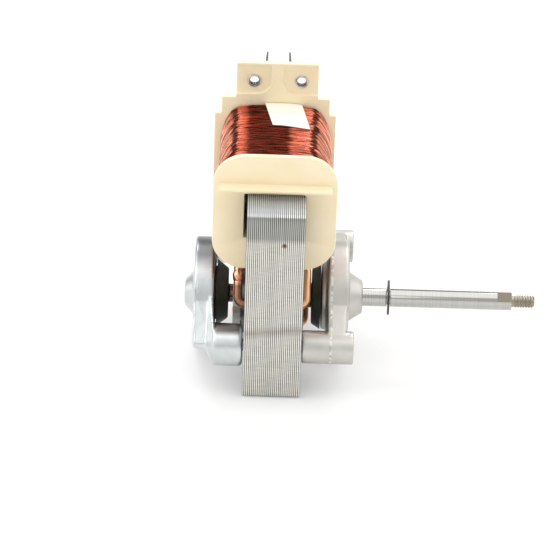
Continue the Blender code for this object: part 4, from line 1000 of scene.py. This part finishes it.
ridge = rounded_face([((THREAD_START + along, 0, radius), 0) for along, radius in ridge_outline])
turns = (THREAD_END - THREAD_START - 0.25) / THREAD_PITCH
bmesh.ops.spin(
    ridge, geom=ridge.verts[:] + ridge.edges[:] + ridge.faces[:], cent=(0, 0, 0), axis=(1, 0, 0),
    dvec=(THREAD_PITCH / STEPS_A_TURN, 0, 0), angle=2 * pi * turns, steps=round(turns * STEPS_A_TURN),
    use_merge=False, use_duplicate=False,
)
# The chamfer at the end takes the thread down.
for v in ridge.verts:
    reach = hypot(v.co.y, v.co.z)
    allowed = min(THREAD, 1.55 + max(0.0, THREAD_END - v.co.x) * 1.1)
    if reach > allowed:
        v.co.y *= allowed / reach
        v.co.z *= allowed / reach
    v.co.x = min(v.co.x, THREAD_END)
bmesh.ops.recalc_face_normals(ridge, faces=ridge.faces)
shifted(ridge, 0, 0, AXIS_Z)

# Bright ground steel: fine rings round the shaft from the wheel, really about 0.02 mm apart and
# drawn at 0.3 mm. The milled flat and the thread are duller and browner, and the stretch inside the
# motor, beside the stack, is painted dark brown as shade.
ground, ground_shader = start_finish("centreless_ground_steel", "#B9B7B3", 0.17, 1.0)
at = place_on(ground)
along = parts_of(ground, at)["X"]
scratch = streaks(ground, at, (3200.0, 40.0, 40.0), 2.0)
true_normal = add(ground, "ShaderNodeNewGeometry").outputs["True Normal"]
on_flat = add(ground, "ShaderNodeVectorMath", {0: true_normal, 1: tuple(flat_way)}, operation="DOT_PRODUCT")
on_flat = spread(ground, on_flat.outputs["Value"], 0.9995, 0.9999)
past_start = reckon(ground, "GREATER_THAN", along, (FLAT_START - 0.1) * MM)
milled = reckon(ground, "MULTIPLY", on_flat, past_start)
at_thread = spread(ground, along, (SHOULDER - 0.2) * MM, (SHOULDER + 0.1) * MM)
dulled = reckon(ground, "MAXIMUM", milled, at_thread)
colour = mixed(ground, scratch, "#A8A6A2", "#CBC9C5")
colour = mixed(ground, dulled, colour, "#A59C8B")
# Painted shade on the stretch inside the motor.
colour = mixed(ground, spread(ground, along, 0.006, 0.009, 0.9, 0.0), colour, "#4A382E")
colour = mixed(ground, milled, colour, "#7C7568")
feed(ground_shader, {
    "Base Color": colour,
    "Roughness": spread(ground, dulled, low=0.15, high=0.42),
    "Normal": relief(ground, scratch, 0.12, 0.00002),
})

shaft = piece("ground_shaft", joined(shank, tip, neck, ridge), ground, 30)
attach(shaft, "rotor")
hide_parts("shaft")


# Clip. Stamped from thin spring steel and snapped into the shaft's groove, between the driven hub
# and the fan's seat.

# Phosphated steel: dark grey and matt, mottled by the bath.
spring = clouded("phosphated_spring_steel", "#4A4946", 0.4, 1.0, 900.0, 3.0, "#302F2D", "#5E5C58")[0]
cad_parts["retaining_ring"].material_slots[0].material = spring
